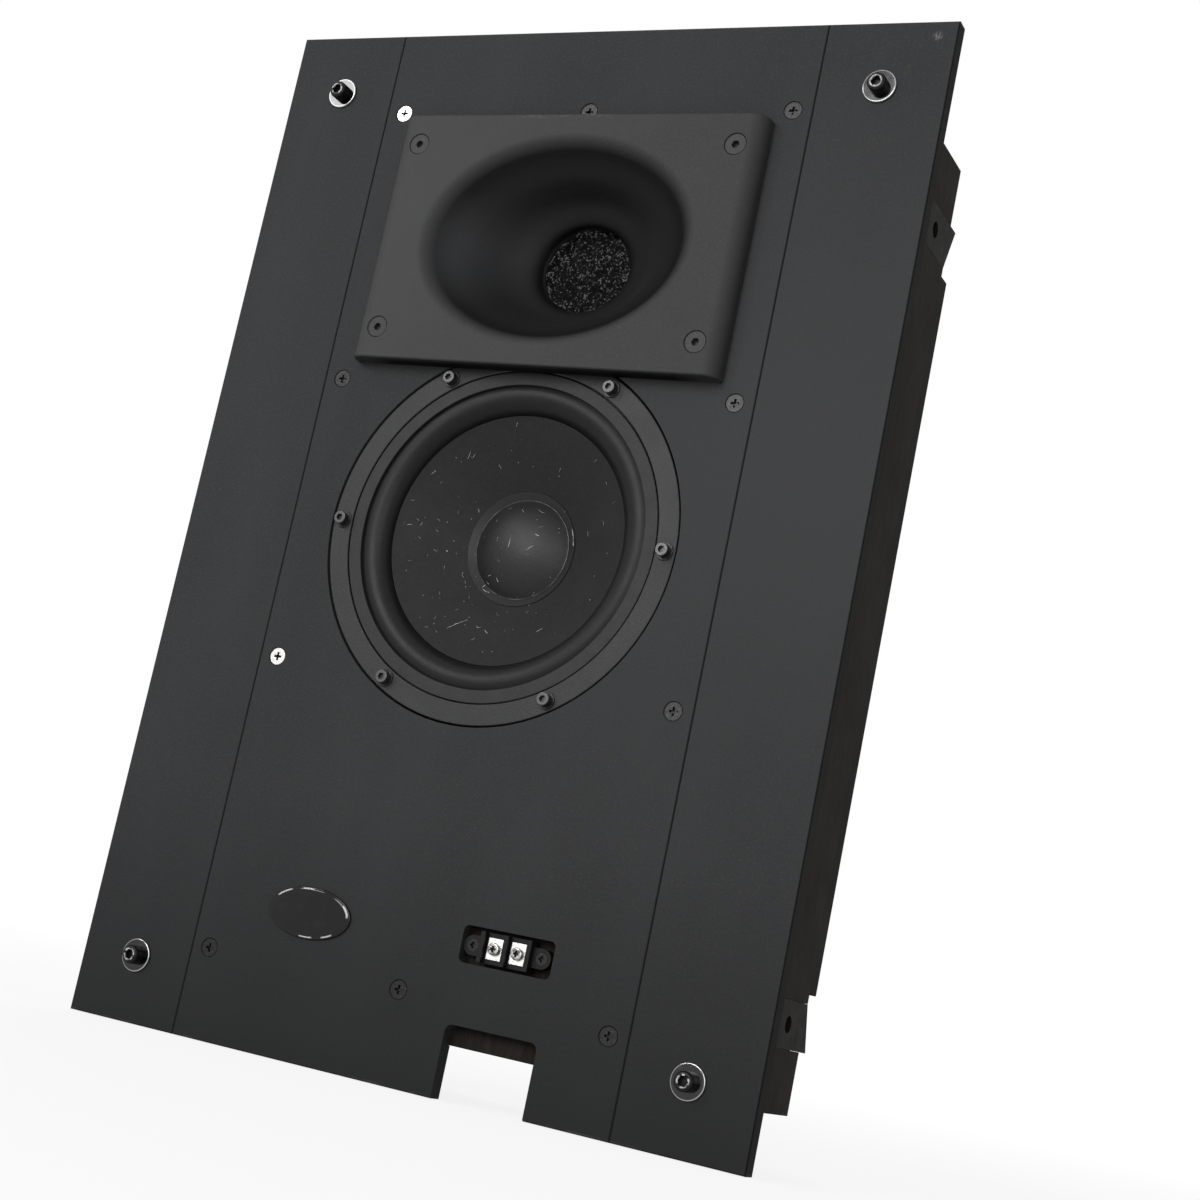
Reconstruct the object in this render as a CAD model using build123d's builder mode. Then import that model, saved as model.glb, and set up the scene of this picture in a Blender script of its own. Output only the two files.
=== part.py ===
# In-wall loudspeaker: a black three-board front panel with a horn and a woofer, on a shallow cabinet.
# Millimetres. X to the right seen from the room, Y into the wall, Z up.
# The origin is the middle of the panel's back plane, where the panel's flange meets the wall.
import os
from math import asin, cos, radians, sin

from build123d import *

os.makedirs("parts", exist_ok=True)

# Front panel
panel_width = 400.0
panel_height = 580.0
board = 9.0
strip_width = 70.0
edge_break = 0.7
flange = 27.0
rebate = 1.0
seat_gap = 0.2

# Cabinet
wall = 18.0
cabinet_depth = 113.0
sub_baffle_thickness = 18.0
rear_board_thickness = 12.0
cover_thickness = 12.0
cover_inset = 63.0
cover_edge = 1.5
access_border = 30.0
corner_relief = 4.0
relief_depth = 77.0
relief_height = 33.0
lining_thickness = 10.0
lining_margin = 55.0

# Fasteners
m6 = 6.0
m6_head = 10.0
m6_head_height = 6.0
m6_head_round = 1.6
m6_socket = 5.0
m6_flat_head = 11.4
m6_flat_socket = 4.0
m6_flat_sink = 0.45
m6_washer = 18.0
m6_washer_thickness = 1.6
m6_length = 30.0
m6_insert = 9.0
m6_insert_length = 14.0
m5 = 5.0
m5_head = 8.5
m5_head_height = 5.0
m5_socket = 4.0
m4 = 4.0
m4_head = 7.1
m4_head_height = 4.0
m4_head_round = 0.5
m4_socket = 3.4
m4_length = 20.0
m4_washer = 9.6
m4_washer_thickness = 0.8
m4_insert = 6.0
m4_insert_length = 12.0
wood_screw = 4.0
wood_screw_head = 9.3
wood_screw_length = 22.0
wood_screw_sink = 0.45
screw_gap = 0.15
head_land = 0.6
head_gap = 0.6
blind_end = 1.5
cross_width = 1.3
cross_depth = 1.8
socket_depth = 3.0
screw_side_inset = 11.0
screw_end_inset = 48.5
cover_screw_rows = 5
cover_screw_end = 20.0

# Cable notch, terminal strip and badge
notch_width = 52.0
notch_height = 37.5
notch_x = 57.0
notch_corner = 4.0
window_width = 52.0
window_height = 19.0
window_corner = 3.0
window_x = 56.0
window_rise = 78.0
terminal_x = 55.0
terminal_pitch = 13.2
terminal_height = 15.6
terminal_ear = 10.2
terminal_fixing_span = 39.2
terminal_base = 5.6
terminal_proud = 1.2
terminal_ridge = 2.4
terminal_plate_width = 8.3
terminal_plate_height = 10.8
terminal_plate = 0.8
terminal_head = 6.4
terminal_head_height = 2.2
terminal_stud = 3.0
terminal_tail = 6.0
badge_width = 51.0
badge_height = 27.0
badge_thickness = 2.4
badge_round = 1.7
badge_x = -61.6
badge_rise = 77.0

# Woofer
frame_radius = 103.0
frame_sink = 0.5
frame_gap = 1.0
frame_rim = 11.5
frame_step = 3.5
frame_wall = 3.0
floor_overhang = 3.5
ledge_width = 5.0
coil_clearance = 5.0
frame_arms = 6
frame_window_angle = 40.0
basket_inset = 15.0
basket_gap = 2.0
ledge_radius = 66.0
ledge_depth = 41.0
seat_radius = 50.0
seat_depth = 54.5
woofer_screw_inset = 6.0
gasket_thickness = 1.5
gasket_inset = 0.5
trim_thickness = 1.8
trim_gap = 0.5
surround_thickness = 1.2
landing_width = 8.0
surround_rise = 7.2
surround_lip = 3.5
roll_width = 14.5
cone_depth = 9.5
cone_fall = 25.6
cone_thickness = 1.3
cap_radius = 27.6
cap_rise = 9.0
cap_thickness = 0.9
cap_flange = 4.4
coil_radius = 19.4
former_thickness = 0.5
winding_thickness = 0.8
winding_height = 12.0
spider_thickness = 0.8
spider_wave = 2.0
spider_waves = 5
spider_hub = 3.0
glue_gap = 0.2
magnet_gap = 0.8
top_plate_thickness = 6.0
plate_radius = 55.0
magnet_radius = 60.0
magnet_height = 18.0
yoke_thickness = 6.0
pole_vent = 5.0
tag_width = 24.0
tag_length = 22.0
tag_thickness = 1.6

# Horn and compression driver
plate_width = 221.0
plate_overlap = 12.5
plate_top_inset = 55.5
plate_proud = 12.0
plate_side_round = 9.0
plate_edge_break = 0.6
mouth_side_margin = 27.5
mouth_margin = 11.0
throat_radius = 26.0
throat_depth = 36.0
throat_length = 8.0
horn_wall = 3.0
horn_gap = 1.2
horn_screw_length = 32.0
horn_screw_side = 14.5
horn_screw_inset = 17.5
foam_thickness = 6.0
foam_gap = 0.3
driver_radius = 50.0
driver_screw_radius = 40.0
driver_flange = 6.0
driver_plate = 8.0
driver_magnet_height = 22.0
driver_bore = 30.0
driver_yoke_thickness = 6.0
driver_cap_radius = 35.0
driver_cap_height = 10.0
driver_cap_wall = 2.5
diaphragm_radius = 25.0
dome_radius = 24.0
diaphragm_rise = 8.0
diaphragm_thickness = 0.6
plug_radius = 20.0

# Stud clips let into the cabinet's sides
clip_thickness = 5.0
clip_height = 25.0
clip_length = 36.0
clip_offset = 5.0
clip_tooth = 10.0
clip_hole = 9.0
clip_hole_inset = 24.0
clip_gap = 0.15
stud_clearance = 0.5
clip_screw = 3.5
clip_screw_head = 6.5
clip_screw_length = 14.0
clip_screw_inset = 8.0
clip_screw_spread = 12.0

# Crossover and leads
pcb_width = 130.0
pcb_height = 65.0
pcb_thickness = 1.6
pcb_rise = 85.0
standoff_length = 8.0
standoff_radius = 3.5
standoff_inset = 6.0
coil_outer = 24.0
coil_inner = 10.0
coil_height = 18.0
capacitor_radius = 9.0
capacitor_length = 36.0
capacitor_gap = 0.9
resistor_width = 10.0
resistor_length = 44.0
resistor_margin = 1.5
lead_radius = 2.2
lead_loop = 12.0
lead_inset = 8.0

# Depths of the main planes
front_y = -board
seat_y = -rebate
sub_back_y = seat_y + sub_baffle_thickness
rear_y = seat_y + cabinet_depth
rear_inner_y = rear_y - rear_board_thickness
flange_back_y = seat_y - gasket_thickness
flange_front_y = front_y + frame_sink
frame_floor_y = flange_front_y + frame_step
ledge_y = flange_back_y + ledge_depth
seat_plane_y = flange_back_y + seat_depth
cone_edge_y = front_y + cone_depth
cone_neck_y = cone_edge_y + cone_fall
gap_mid_y = seat_plane_y + top_plate_thickness / 2
magnet_y = seat_plane_y + top_plate_thickness
yoke_y = magnet_y + magnet_height
plate_front_y = front_y - plate_proud
throat_y = front_y + throat_depth
horn_end_y = throat_y + throat_length
driver_y = horn_end_y + driver_flange
driver_magnet_y = driver_y + driver_plate
driver_yoke_y = driver_magnet_y + driver_magnet_height
driver_cap_y = driver_yoke_y + driver_yoke_thickness
pcb_y = sub_back_y + standoff_length

# Horn flare: share of its length, then the shares of the mouth's extra half width and half height.
flare_length = plate_proud + throat_depth
flare_rows = [
    (0.0, 1.0, 1.0),
    (0.03, 0.94, 0.90),
    (0.125, 0.85, 0.79),
    (0.25, 0.73, 0.64),
    (0.55, 0.44, 0.37),
    (0.81, 0.18, 0.15),
    (1.0, 0.0, 0.0),
]


def flare_half(wide, high):
    """Half width and half height of the flare for its shares of the mouth."""
    half_width = throat_radius + wide * (mouth_half_width - throat_radius)
    half_height = throat_radius + high * (mouth_half_height - throat_radius)
    return half_width, half_height


def flare_hole(y):
    """Half width and half height of a hole that clears the outside of the flare at depth y."""
    share = (y - plate_front_y) / flare_length
    for (low, low_wide, low_high), (top, top_wide, top_high) in zip(flare_rows, flare_rows[1:]):
        if low <= share <= top:
            along = (share - low) / (top - low)
            half_width, half_height = flare_half(
                low_wide + along * (top_wide - low_wide), low_high + along * (top_high - low_high)
            )
    return half_width + horn_wall + horn_gap, half_height + horn_wall + horn_gap


# Widths, heights and places that follow from the driving sizes
centre_width = panel_width - 2 * strip_width
cabinet_width = panel_width - 2 * flange
cabinet_height = panel_height - 2 * flange
inner_width = cabinet_width - 2 * wall
inner_height = cabinet_height - 2 * wall
cover_height = cabinet_height - 2 * cover_inset
access_width = inner_width - 2 * access_border
access_height = cover_height - 2 * access_border
bolt_x = cabinet_width / 2 - wall / 2
bolt_z = cabinet_height / 2 - wall / 2
screw_x = centre_width / 2 - screw_side_inset
screw_z = panel_height / 2 - screw_end_inset
window_z = window_rise - panel_height / 2
badge_z = badge_rise - panel_height / 2
frame_step_radius = frame_radius - frame_rim
basket_radius = frame_radius - basket_inset
woofer_screw_radius = frame_radius - woofer_screw_inset
surround_outer_radius = frame_step_radius - landing_width
cone_radius = surround_outer_radius - roll_width
plate_rise = frame_radius - plate_overlap
plate_height = panel_height / 2 - plate_top_inset - plate_rise
horn_z = plate_rise + plate_height / 2
horn_screw_x = plate_width / 2 - horn_screw_side
horn_screw_rise = plate_height / 2 - horn_screw_inset
mouth_half_width = plate_width / 2 - mouth_side_margin
mouth_half_height = plate_height / 2 - mouth_margin
clip_z = cover_height / 2 + clip_offset + clip_height / 2
clip_hole_y = rear_y - clip_hole_inset
cone_slope = cone_fall / (cone_radius - coil_radius)

corner_places = [(x, z) for x in (-bolt_x, bolt_x) for z in (-bolt_z, bolt_z)]
bright_places = [(-screw_x, screw_z), (-screw_x, -screw_z / 3)]
screw_grid = [(x, z) for x in (-screw_x, screw_x) for z in (-screw_z, -screw_z / 3, screw_z / 3, screw_z)]
screw_grid += [(0, -screw_z), (0, screw_z)]
black_places = [place for place in screw_grid if place not in bright_places]
woofer_angles = [radians(60 * step) for step in range(6)]
woofer_places = [
    (woofer_screw_radius * cos(angle), woofer_screw_radius * sin(angle)) for angle in woofer_angles
]
horn_places = [
    (x, horn_z + rise)
    for x in (-horn_screw_x, horn_screw_x)
    for rise in (-horn_screw_rise, horn_screw_rise)
]
driver_angles = [radians(45 + 90 * step) for step in range(4)]
driver_places = [
    (driver_screw_radius * cos(angle), horn_z + driver_screw_radius * sin(angle)) for angle in driver_angles
]
terminal_places = [(terminal_x + side * terminal_pitch / 2, window_z) for side in (-1, 1)]
fixing_places = [(terminal_x + side * terminal_fixing_span / 2, window_z) for side in (-1, 1)]
cover_rise = cover_height / 2 - cover_screw_end
cover_places = [
    (side * bolt_x, -cover_rise + 2 * cover_rise * row / (cover_screw_rows - 1))
    for side in (-1, 1)
    for row in range(cover_screw_rows)
]


def at_depth(y):
    """Plane facing the room at depth y, with local x along X and local y along Z."""
    return Plane.XZ.offset(-y)


def blocks(places, width, height, front, back, mode=Mode.ADD, corner=0.0):
    """Rectangular blocks about each place, from depth front to depth back."""
    with BuildSketch(at_depth(front)) as outline:
        with Locations(*places):
            if corner:
                RectangleRounded(width, height, corner)
            else:
                Rectangle(width, height)
    extrude(outline.sketch, amount=front - back, mode=mode)


def discs(places, radius, front, back, mode=Mode.ADD):
    """Round rods or holes at each place, from depth front to depth back."""
    with BuildSketch(at_depth(front)) as outline:
        with Locations(*places):
            Circle(radius)
    extrude(outline.sketch, amount=front - back, mode=mode)


def turned(places, points, mode=Mode.ADD):
    """Bodies turned about a line along Y through each place, from (radius, depth) points."""
    for x, z in places:
        with BuildSketch(Plane((x, 0, z))) as section:
            with BuildLine():
                Polyline(*points, close=True)
            make_face()
        revolve(section.sketch, axis=Axis((x, 0, z), (0, 1, 0)), mode=mode)


def hex_sockets(places, across, front, depth):
    """Six-sided sockets sunk into screw heads."""
    with BuildSketch(at_depth(front)) as outline:
        with Locations(*places):
            RegularPolygon(across / 2, 6, major_radius=False)
    extrude(outline.sketch, amount=-depth, mode=Mode.SUBTRACT)


def cross_slots(places, span, front):
    """Cross recesses sunk into screw heads."""
    with BuildSketch(at_depth(front)) as outline:
        with Locations(*places):
            Rectangle(span, cross_width)
            Rectangle(cross_width, span)
    extrude(outline.sketch, amount=-cross_depth, mode=Mode.SUBTRACT)


def countersunk(head, shank, front, length):
    """Section of a countersunk screw: a short straight land at the head's rim, then a 90 degree cone."""
    land_end = front + head_land
    neck = land_end + (head - shank) / 2
    return [
        (0, front),
        (head / 2, front),
        (head / 2, land_end),
        (shank / 2, neck),
        (shank / 2, front + length),
        (0, front + length),
    ]


def dome(place, radius, rise, edge_y, thickness, facing):
    """Domed shell about a place: it bulges to the room when facing is -1 and to the back when it is 1."""
    x, z = place
    sphere = (radius**2 + rise**2) / (2 * rise)
    centre_y = edge_y + facing * (rise - sphere)
    rim_angle = asin(radius / sphere)

    def on_sphere(reach, share):
        return (reach * sin(share * rim_angle), centre_y + facing * reach * cos(share * rim_angle))

    with BuildSketch(Plane((x, 0, z))) as section:
        with BuildLine():
            inside = sphere - thickness
            outer = ThreePointArc(on_sphere(sphere, 0), on_sphere(sphere, 0.5), on_sphere(sphere, 1))
            inner = ThreePointArc(on_sphere(inside, 1), on_sphere(inside, 0.5), on_sphere(inside, 0))
            Line(outer @ 1, inner @ 0)
            Line(inner @ 1, outer @ 0)
        make_face()
    revolve(section.sketch, axis=Axis((x, 0, z), (0, 1, 0)))


def finish(piece, name):
    """Name a finished piece and write it."""
    piece.part.label = name
    export_step(piece.part, f"parts/{name}.step")


def flare(rows, extra):
    """Elliptical sections along the flare, each widened by extra, as faces ready to loft."""
    faces = []
    for share, wide, high in rows:
        half_width, half_height = flare_half(wide, high)
        with BuildSketch(at_depth(plate_front_y + share * flare_length)) as section:
            with Locations((0, horn_z)):
                Ellipse(half_width + extra, half_height + extra)
        faces.append(section.sketch.face())
    return faces


# Front boards. Each is cut from 9 mm board; a shallow pocket in the back takes the cabinet's front edge.
def front_board(x, width):
    """One full-height board with broken front edges and the cabinet pocket in its back."""
    blocks([(x, 0)], width, panel_height, front_y, 0)
    blocks(
        [(0, 0)],
        cabinet_width + 2 * seat_gap,
        cabinet_height + 2 * seat_gap,
        seat_y,
        0,
        mode=Mode.SUBTRACT,
    )


for side, name in ((-1, "left_strip"), (1, "right_strip")):
    with BuildPart() as strip:
        front_board(side * (panel_width - strip_width) / 2, strip_width)
        chamfer(strip.faces().sort_by(Axis.Y)[0].edges(), edge_break)
        discs(corner_places, m6 / 2 + 2 * screw_gap, front_y, 0, mode=Mode.SUBTRACT)
    finish(strip, name)

with BuildPart() as centre_baffle:
    front_board(0, centre_width)
    chamfer(centre_baffle.faces().sort_by(Axis.Y)[0].edges(), edge_break)
    discs([(0, 0)], frame_radius + frame_gap, front_y, 0, mode=Mode.SUBTRACT)
    with BuildSketch(at_depth(front_y)) as horn_hole:
        with Locations((0, horn_z)):
            Ellipse(*flare_hole(front_y))
    extrude(horn_hole.sketch, amount=-board, mode=Mode.SUBTRACT)
    blocks(
        [(window_x, window_z)],
        window_width,
        window_height,
        front_y,
        0,
        mode=Mode.SUBTRACT,
        corner=window_corner,
    )
    notch_top = notch_height - panel_height / 2
    blocks(
        [(notch_x, notch_top - notch_height)],
        notch_width,
        2 * notch_height,
        front_y,
        0,
        mode=Mode.SUBTRACT,
        corner=notch_corner,
    )
    discs(horn_places, m6 / 2 + 2 * screw_gap, front_y, 0, mode=Mode.SUBTRACT)
    screw_cut = countersunk(wood_screw_head + 2 * head_gap, wood_screw + 2 * screw_gap, front_y, board)
    turned(screw_grid, screw_cut, mode=Mode.SUBTRACT)
finish(centre_baffle, "centre_baffle")

# Corner bolts and washers. They clamp the side boards to insert nuts in the cabinet's side walls.
washer_front_y = front_y - m6_washer_thickness
with BuildPart() as corner_washers:
    discs(corner_places, m6_washer / 2, washer_front_y, front_y)
    fillet(corner_washers.faces().sort_by(Axis.Y)[0:4].edges(), m6_washer_thickness / 3)
    discs(corner_places, m6 / 2 + screw_gap, washer_front_y, front_y, mode=Mode.SUBTRACT)
finish(corner_washers, "corner_washers")

bolt_front_y = washer_front_y - m6_head_height
with BuildPart() as corner_bolts:
    discs(corner_places, m6_head / 2, bolt_front_y, washer_front_y)
    fillet(corner_bolts.faces().sort_by(Axis.Y)[0:4].edges(), m6_head_round)
    hex_sockets(corner_places, m6_socket, bolt_front_y, socket_depth)
    discs(corner_places, m6 / 2, washer_front_y, washer_front_y + m6_length)
finish(corner_bolts, "corner_bolts")

# Brass insert nuts for the corner bolts, the waveguide's screws and the woofer's screws.
with BuildPart() as insert_nuts:
    m6_places = corner_places + horn_places
    m6_insert_end_y = seat_y + m6_insert_length
    m4_insert_end_y = seat_y + m4_insert_length
    discs(m6_places, m6_insert / 2, seat_y, m6_insert_end_y)
    discs(m6_places, m6 / 2 + screw_gap, seat_y, m6_insert_end_y, mode=Mode.SUBTRACT)
    discs(woofer_places, m4_insert / 2, seat_y, m4_insert_end_y)
    discs(woofer_places, m4 / 2 + screw_gap, seat_y, m4_insert_end_y, mode=Mode.SUBTRACT)
finish(insert_nuts, "insert_nuts")

# Countersunk cross-head screws that hold the centre board to the sub-baffle.
screw_front_y = front_y + wood_screw_sink
for name, places in (("baffle_screws_black", black_places), ("baffle_screws_bright", bright_places)):
    with BuildPart() as baffle_screws:
        turned(places, countersunk(wood_screw_head, wood_screw, screw_front_y, wood_screw_length))
        cross_slots(places, wood_screw_head / 2, screw_front_y)
    finish(baffle_screws, name)

# Cabinet of 18 mm board: two sides, a top and a bottom between them, a sub-baffle and a rear board inside.
insert_hole = m6_insert / 2 + screw_gap
bolt_end_y = max(m6_insert_end_y, washer_front_y + m6_length) + blind_end
wood_screw_end_y = screw_front_y + wood_screw_length + blind_end
clip_places = [(clip_hole_y, clip_z), (clip_hole_y, -clip_z)]
clip_front_y = rear_y - clip_length
clip_screw_y = rear_y - clip_screw_inset
clip_screw_places = [
    (clip_screw_y, end * clip_z + spread * clip_screw_spread / 2) for end in (-1, 1) for spread in (-1, 1)
]


def side_plane(side):
    """Outer face of a cabinet side, with local x along Y and local y along Z."""
    return Plane(origin=(side * cabinet_width / 2, 0, 0), x_dir=(0, 1, 0), z_dir=(1, 0, 0))


def clip_screw_section(extra):
    """Section of a clip screw as (radius, depth below the clip's face); extra widens it to its hole."""
    head = clip_screw_head / 2 + extra
    shank = clip_screw / 2 + extra
    end = clip_screw_length + 2 * extra
    return [(0, 0), (head, 0), (shank, head - shank), (shank, end), (0, end)]


def clip_screws_at(side, extra, mode):
    """Turned clip screws, or their holes, along X at each clip screw place of one side."""
    for y, z in clip_screw_places:
        face = side * cabinet_width / 2
        points = [(face - side * depth, y + radius) for radius, depth in clip_screw_section(extra)]
        with BuildSketch(Plane((0, 0, z))) as section:
            with BuildLine():
                Polyline(*points, close=True)
            make_face()
        revolve(section.sketch, axis=Axis((0, y, z), (1, 0, 0)), mode=mode)


for side, name in ((-1, "cabinet_left"), (1, "cabinet_right")):
    with BuildPart() as cabinet_side:
        blocks([(side * (cabinet_width - wall) / 2, 0)], wall, cabinet_height, seat_y, rear_y)
        corner_z = (cabinet_height - relief_height) / 2
        blocks(
            [(side * (cabinet_width - corner_relief) / 2, end * corner_z) for end in (-1, 1)],
            corner_relief,
            relief_height,
            seat_y,
            seat_y + relief_depth,
            mode=Mode.SUBTRACT,
        )
        discs(corner_places, insert_hole, seat_y, bolt_end_y, mode=Mode.SUBTRACT)
        cover_screw_hole = wood_screw / 2 + screw_gap
        discs(cover_places, cover_screw_hole, rear_y - wood_screw_length, rear_y, mode=Mode.SUBTRACT)
        with BuildSketch(side_plane(side)) as clip_pockets:
            with Locations(*[(rear_y - clip_length / 2, end * clip_z) for end in (-1, 1)]):
                Rectangle(clip_length + 2 * clip_gap, clip_height + 2 * clip_gap)
        extrude(clip_pockets.sketch, amount=-side * clip_thickness, mode=Mode.SUBTRACT)
        with BuildSketch(side_plane(side)) as stud_holes:
            with Locations(*clip_places):
                Circle(clip_hole / 2 + stud_clearance)
        extrude(stud_holes.sketch, amount=-side * wall, mode=Mode.SUBTRACT)
        clip_screws_at(side, screw_gap, Mode.SUBTRACT)
    finish(cabinet_side, name)

for end, name in ((1, "cabinet_top"), (-1, "cabinet_bottom")):
    with BuildPart() as cabinet_end:
        blocks([(0, end * (cabinet_height - wall) / 2)], inner_width, wall, seat_y, rear_y)
    finish(cabinet_end, name)

with BuildPart() as sub_baffle:
    blocks([(0, 0)], inner_width, inner_height, seat_y, sub_back_y)
    discs([(0, 0)], basket_radius + basket_gap, seat_y, sub_back_y, mode=Mode.SUBTRACT)
    with BuildSketch(at_depth(seat_y)) as horn_hole:
        with Locations((0, horn_z)):
            Ellipse(*flare_hole(seat_y))
    extrude(horn_hole.sketch, amount=-sub_baffle_thickness, mode=Mode.SUBTRACT)
    discs(screw_grid, wood_screw / 2 + screw_gap, seat_y, wood_screw_end_y, mode=Mode.SUBTRACT)
    discs(horn_places, insert_hole, seat_y, sub_back_y, mode=Mode.SUBTRACT)
    discs(woofer_places, m4_insert / 2 + screw_gap, seat_y, sub_back_y, mode=Mode.SUBTRACT)
    discs(terminal_places, terminal_stud / 2 + 2 * screw_gap, seat_y, sub_back_y, mode=Mode.SUBTRACT)
    discs(fixing_places, clip_screw / 2 + screw_gap, seat_y, seat_y + clip_screw_length, mode=Mode.SUBTRACT)
finish(sub_baffle, "sub_baffle")

with BuildPart() as rear_board:
    blocks([(0, 0)], inner_width, inner_height, rear_inner_y, rear_y)
    blocks([(0, 0)], access_width, access_height, rear_inner_y, rear_y, mode=Mode.SUBTRACT)
finish(rear_board, "rear_board")

# Access cover over the rear opening, screwed to the cabinet's sides.
cover_back_y = rear_y + cover_thickness
with BuildPart() as access_cover:
    blocks([(0, 0)], cabinet_width, cover_height, rear_y, cover_back_y)
    chamfer(access_cover.faces().sort_by(Axis.Y)[-1].edges(), cover_edge)
    head_back = wood_screw_head / 2 + screw_gap
    shank_hole = wood_screw / 2 + screw_gap
    cover_hole = [
        (0, cover_back_y),
        (head_back, cover_back_y),
        (shank_hole, cover_back_y - head_back + shank_hole),
        (shank_hole, rear_y),
        (0, rear_y),
    ]
    turned(cover_places, cover_hole, mode=Mode.SUBTRACT)
finish(access_cover, "access_cover")

with BuildPart() as cover_screws:
    cover_screw = [
        (0, cover_back_y),
        (wood_screw_head / 2, cover_back_y),
        (wood_screw / 2, cover_back_y - (wood_screw_head - wood_screw) / 2),
        (wood_screw / 2, cover_back_y - wood_screw_length),
        (0, cover_back_y - wood_screw_length),
    ]
    turned(cover_places, cover_screw)
    cross_slots(cover_places, wood_screw_head / 2, cover_back_y - cross_depth)
finish(cover_screws, "cover_screws")

# Stud clips: plates let into the cabinet's sides, each with a stud hole and a tooth behind the rear edge.
for side, side_name in ((-1, "left"), (1, "right")):
    for end, end_name in ((1, "upper"), (-1, "lower")):
        with BuildPart() as clip:
            inner_z = end * (clip_z - clip_height / 2)
            outer_z = end * (clip_z + clip_height / 2)
            with BuildSketch(side_plane(side)) as clip_outline:
                with BuildLine():
                    Polyline(
                        (clip_front_y, inner_z),
                        (rear_y, inner_z),
                        (rear_y + clip_tooth, outer_z),
                        (clip_front_y, outer_z),
                        close=True,
                    )
                make_face()
                with Locations((clip_hole_y, end * clip_z)):
                    Circle(clip_hole / 2, mode=Mode.SUBTRACT)
            extrude(clip_outline.sketch, amount=-side * clip_thickness)
            clip_screws_at(side, screw_gap, Mode.SUBTRACT)
        finish(clip, f"clip_{end_name}_{side_name}")

with BuildPart() as clip_screws:
    for side in (-1, 1):
        clip_screws_at(side, 0.0, Mode.ADD)
finish(clip_screws, "clip_screws")

# Woofer frame: a cast flange and basket turned in one, with windows between its arms.
floor_radius = surround_outer_radius - floor_overhang
ledge_inner = ledge_radius - ledge_width
with BuildPart() as woofer_frame:
    ledge_front_y = ledge_y - frame_wall
    frame_section = [
        (frame_step_radius, flange_front_y),
        (frame_radius, flange_front_y),
        (frame_radius, flange_back_y),
        (basket_radius, flange_back_y),
        (ledge_radius, ledge_front_y),
        (ledge_radius, ledge_y),
        (ledge_inner, ledge_y),
        (seat_radius, seat_plane_y - frame_wall),
        (seat_radius, seat_plane_y),
        (coil_radius + coil_clearance, seat_plane_y),
        (coil_radius + coil_clearance, seat_plane_y - frame_wall),
        (seat_radius - frame_wall, seat_plane_y - frame_wall),
        (ledge_inner - frame_wall, ledge_y),
        (ledge_inner - 2 * frame_wall, ledge_y),
        (ledge_inner - 2 * frame_wall, ledge_front_y),
        (ledge_radius - frame_wall, ledge_front_y),
        (basket_radius - frame_wall, flange_back_y),
        (floor_radius, flange_back_y),
        (floor_radius, frame_floor_y),
        (frame_step_radius, frame_floor_y),
    ]
    turned([(0, 0)], frame_section)
    fillet(woofer_frame.edges().filter_by(GeomType.CIRCLE).group_by(Axis.Y)[0], edge_break)
    discs(woofer_places, m4 / 2 + 2 * screw_gap, flange_front_y, flange_back_y, mode=Mode.SUBTRACT)
    with BuildSketch(at_depth(flange_back_y + frame_wall)) as frame_windows:
        with PolarLocations(0, frame_arms, start_angle=180 / frame_arms):
            with BuildLine():
                reach = frame_radius
                spread = radians(frame_window_angle / 2)
                hub = ledge_radius - 3 * frame_wall
                Polyline(
                    (hub * cos(spread), hub * sin(spread)),
                    (reach * cos(spread), reach * sin(spread)),
                    (reach * cos(spread), -reach * sin(spread)),
                    (hub * cos(spread), -hub * sin(spread)),
                    close=True,
                )
            make_face()
    extrude(frame_windows.sketch, amount=-(ledge_depth - 3 * frame_wall), mode=Mode.SUBTRACT)
finish(woofer_frame, "woofer_frame")

with BuildPart() as woofer_gasket:
    discs([(0, 0)], frame_radius - gasket_inset, flange_back_y, seat_y)
    discs([(0, 0)], basket_radius + basket_gap + gasket_inset, flange_back_y, seat_y, mode=Mode.SUBTRACT)
    discs(woofer_places, m4_insert / 2, flange_back_y, seat_y, mode=Mode.SUBTRACT)
finish(woofer_gasket, "woofer_gasket")

# Woofer screws: socket-head cap screws on black washers.
woofer_washer_y = flange_front_y - m4_washer_thickness
with BuildPart() as woofer_washers:
    discs(woofer_places, m4_washer / 2, woofer_washer_y, flange_front_y)
    fillet(woofer_washers.faces().sort_by(Axis.Y)[0:6].edges(), m4_washer_thickness / 3)
    discs(woofer_places, m4 / 2 + screw_gap, woofer_washer_y, flange_front_y, mode=Mode.SUBTRACT)
finish(woofer_washers, "woofer_washers")

woofer_screw_y = woofer_washer_y - m4_head_height
with BuildPart() as woofer_screws:
    discs(woofer_places, m4_head / 2, woofer_screw_y, woofer_washer_y)
    fillet(woofer_screws.faces().sort_by(Axis.Y)[0:6].edges(), m4_head_round)
    hex_sockets(woofer_places, m4_socket, woofer_screw_y, m4_head_height / 2)
    discs(woofer_places, m4 / 2, woofer_washer_y, woofer_washer_y + m4_length)
finish(woofer_screws, "woofer_screws")

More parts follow.
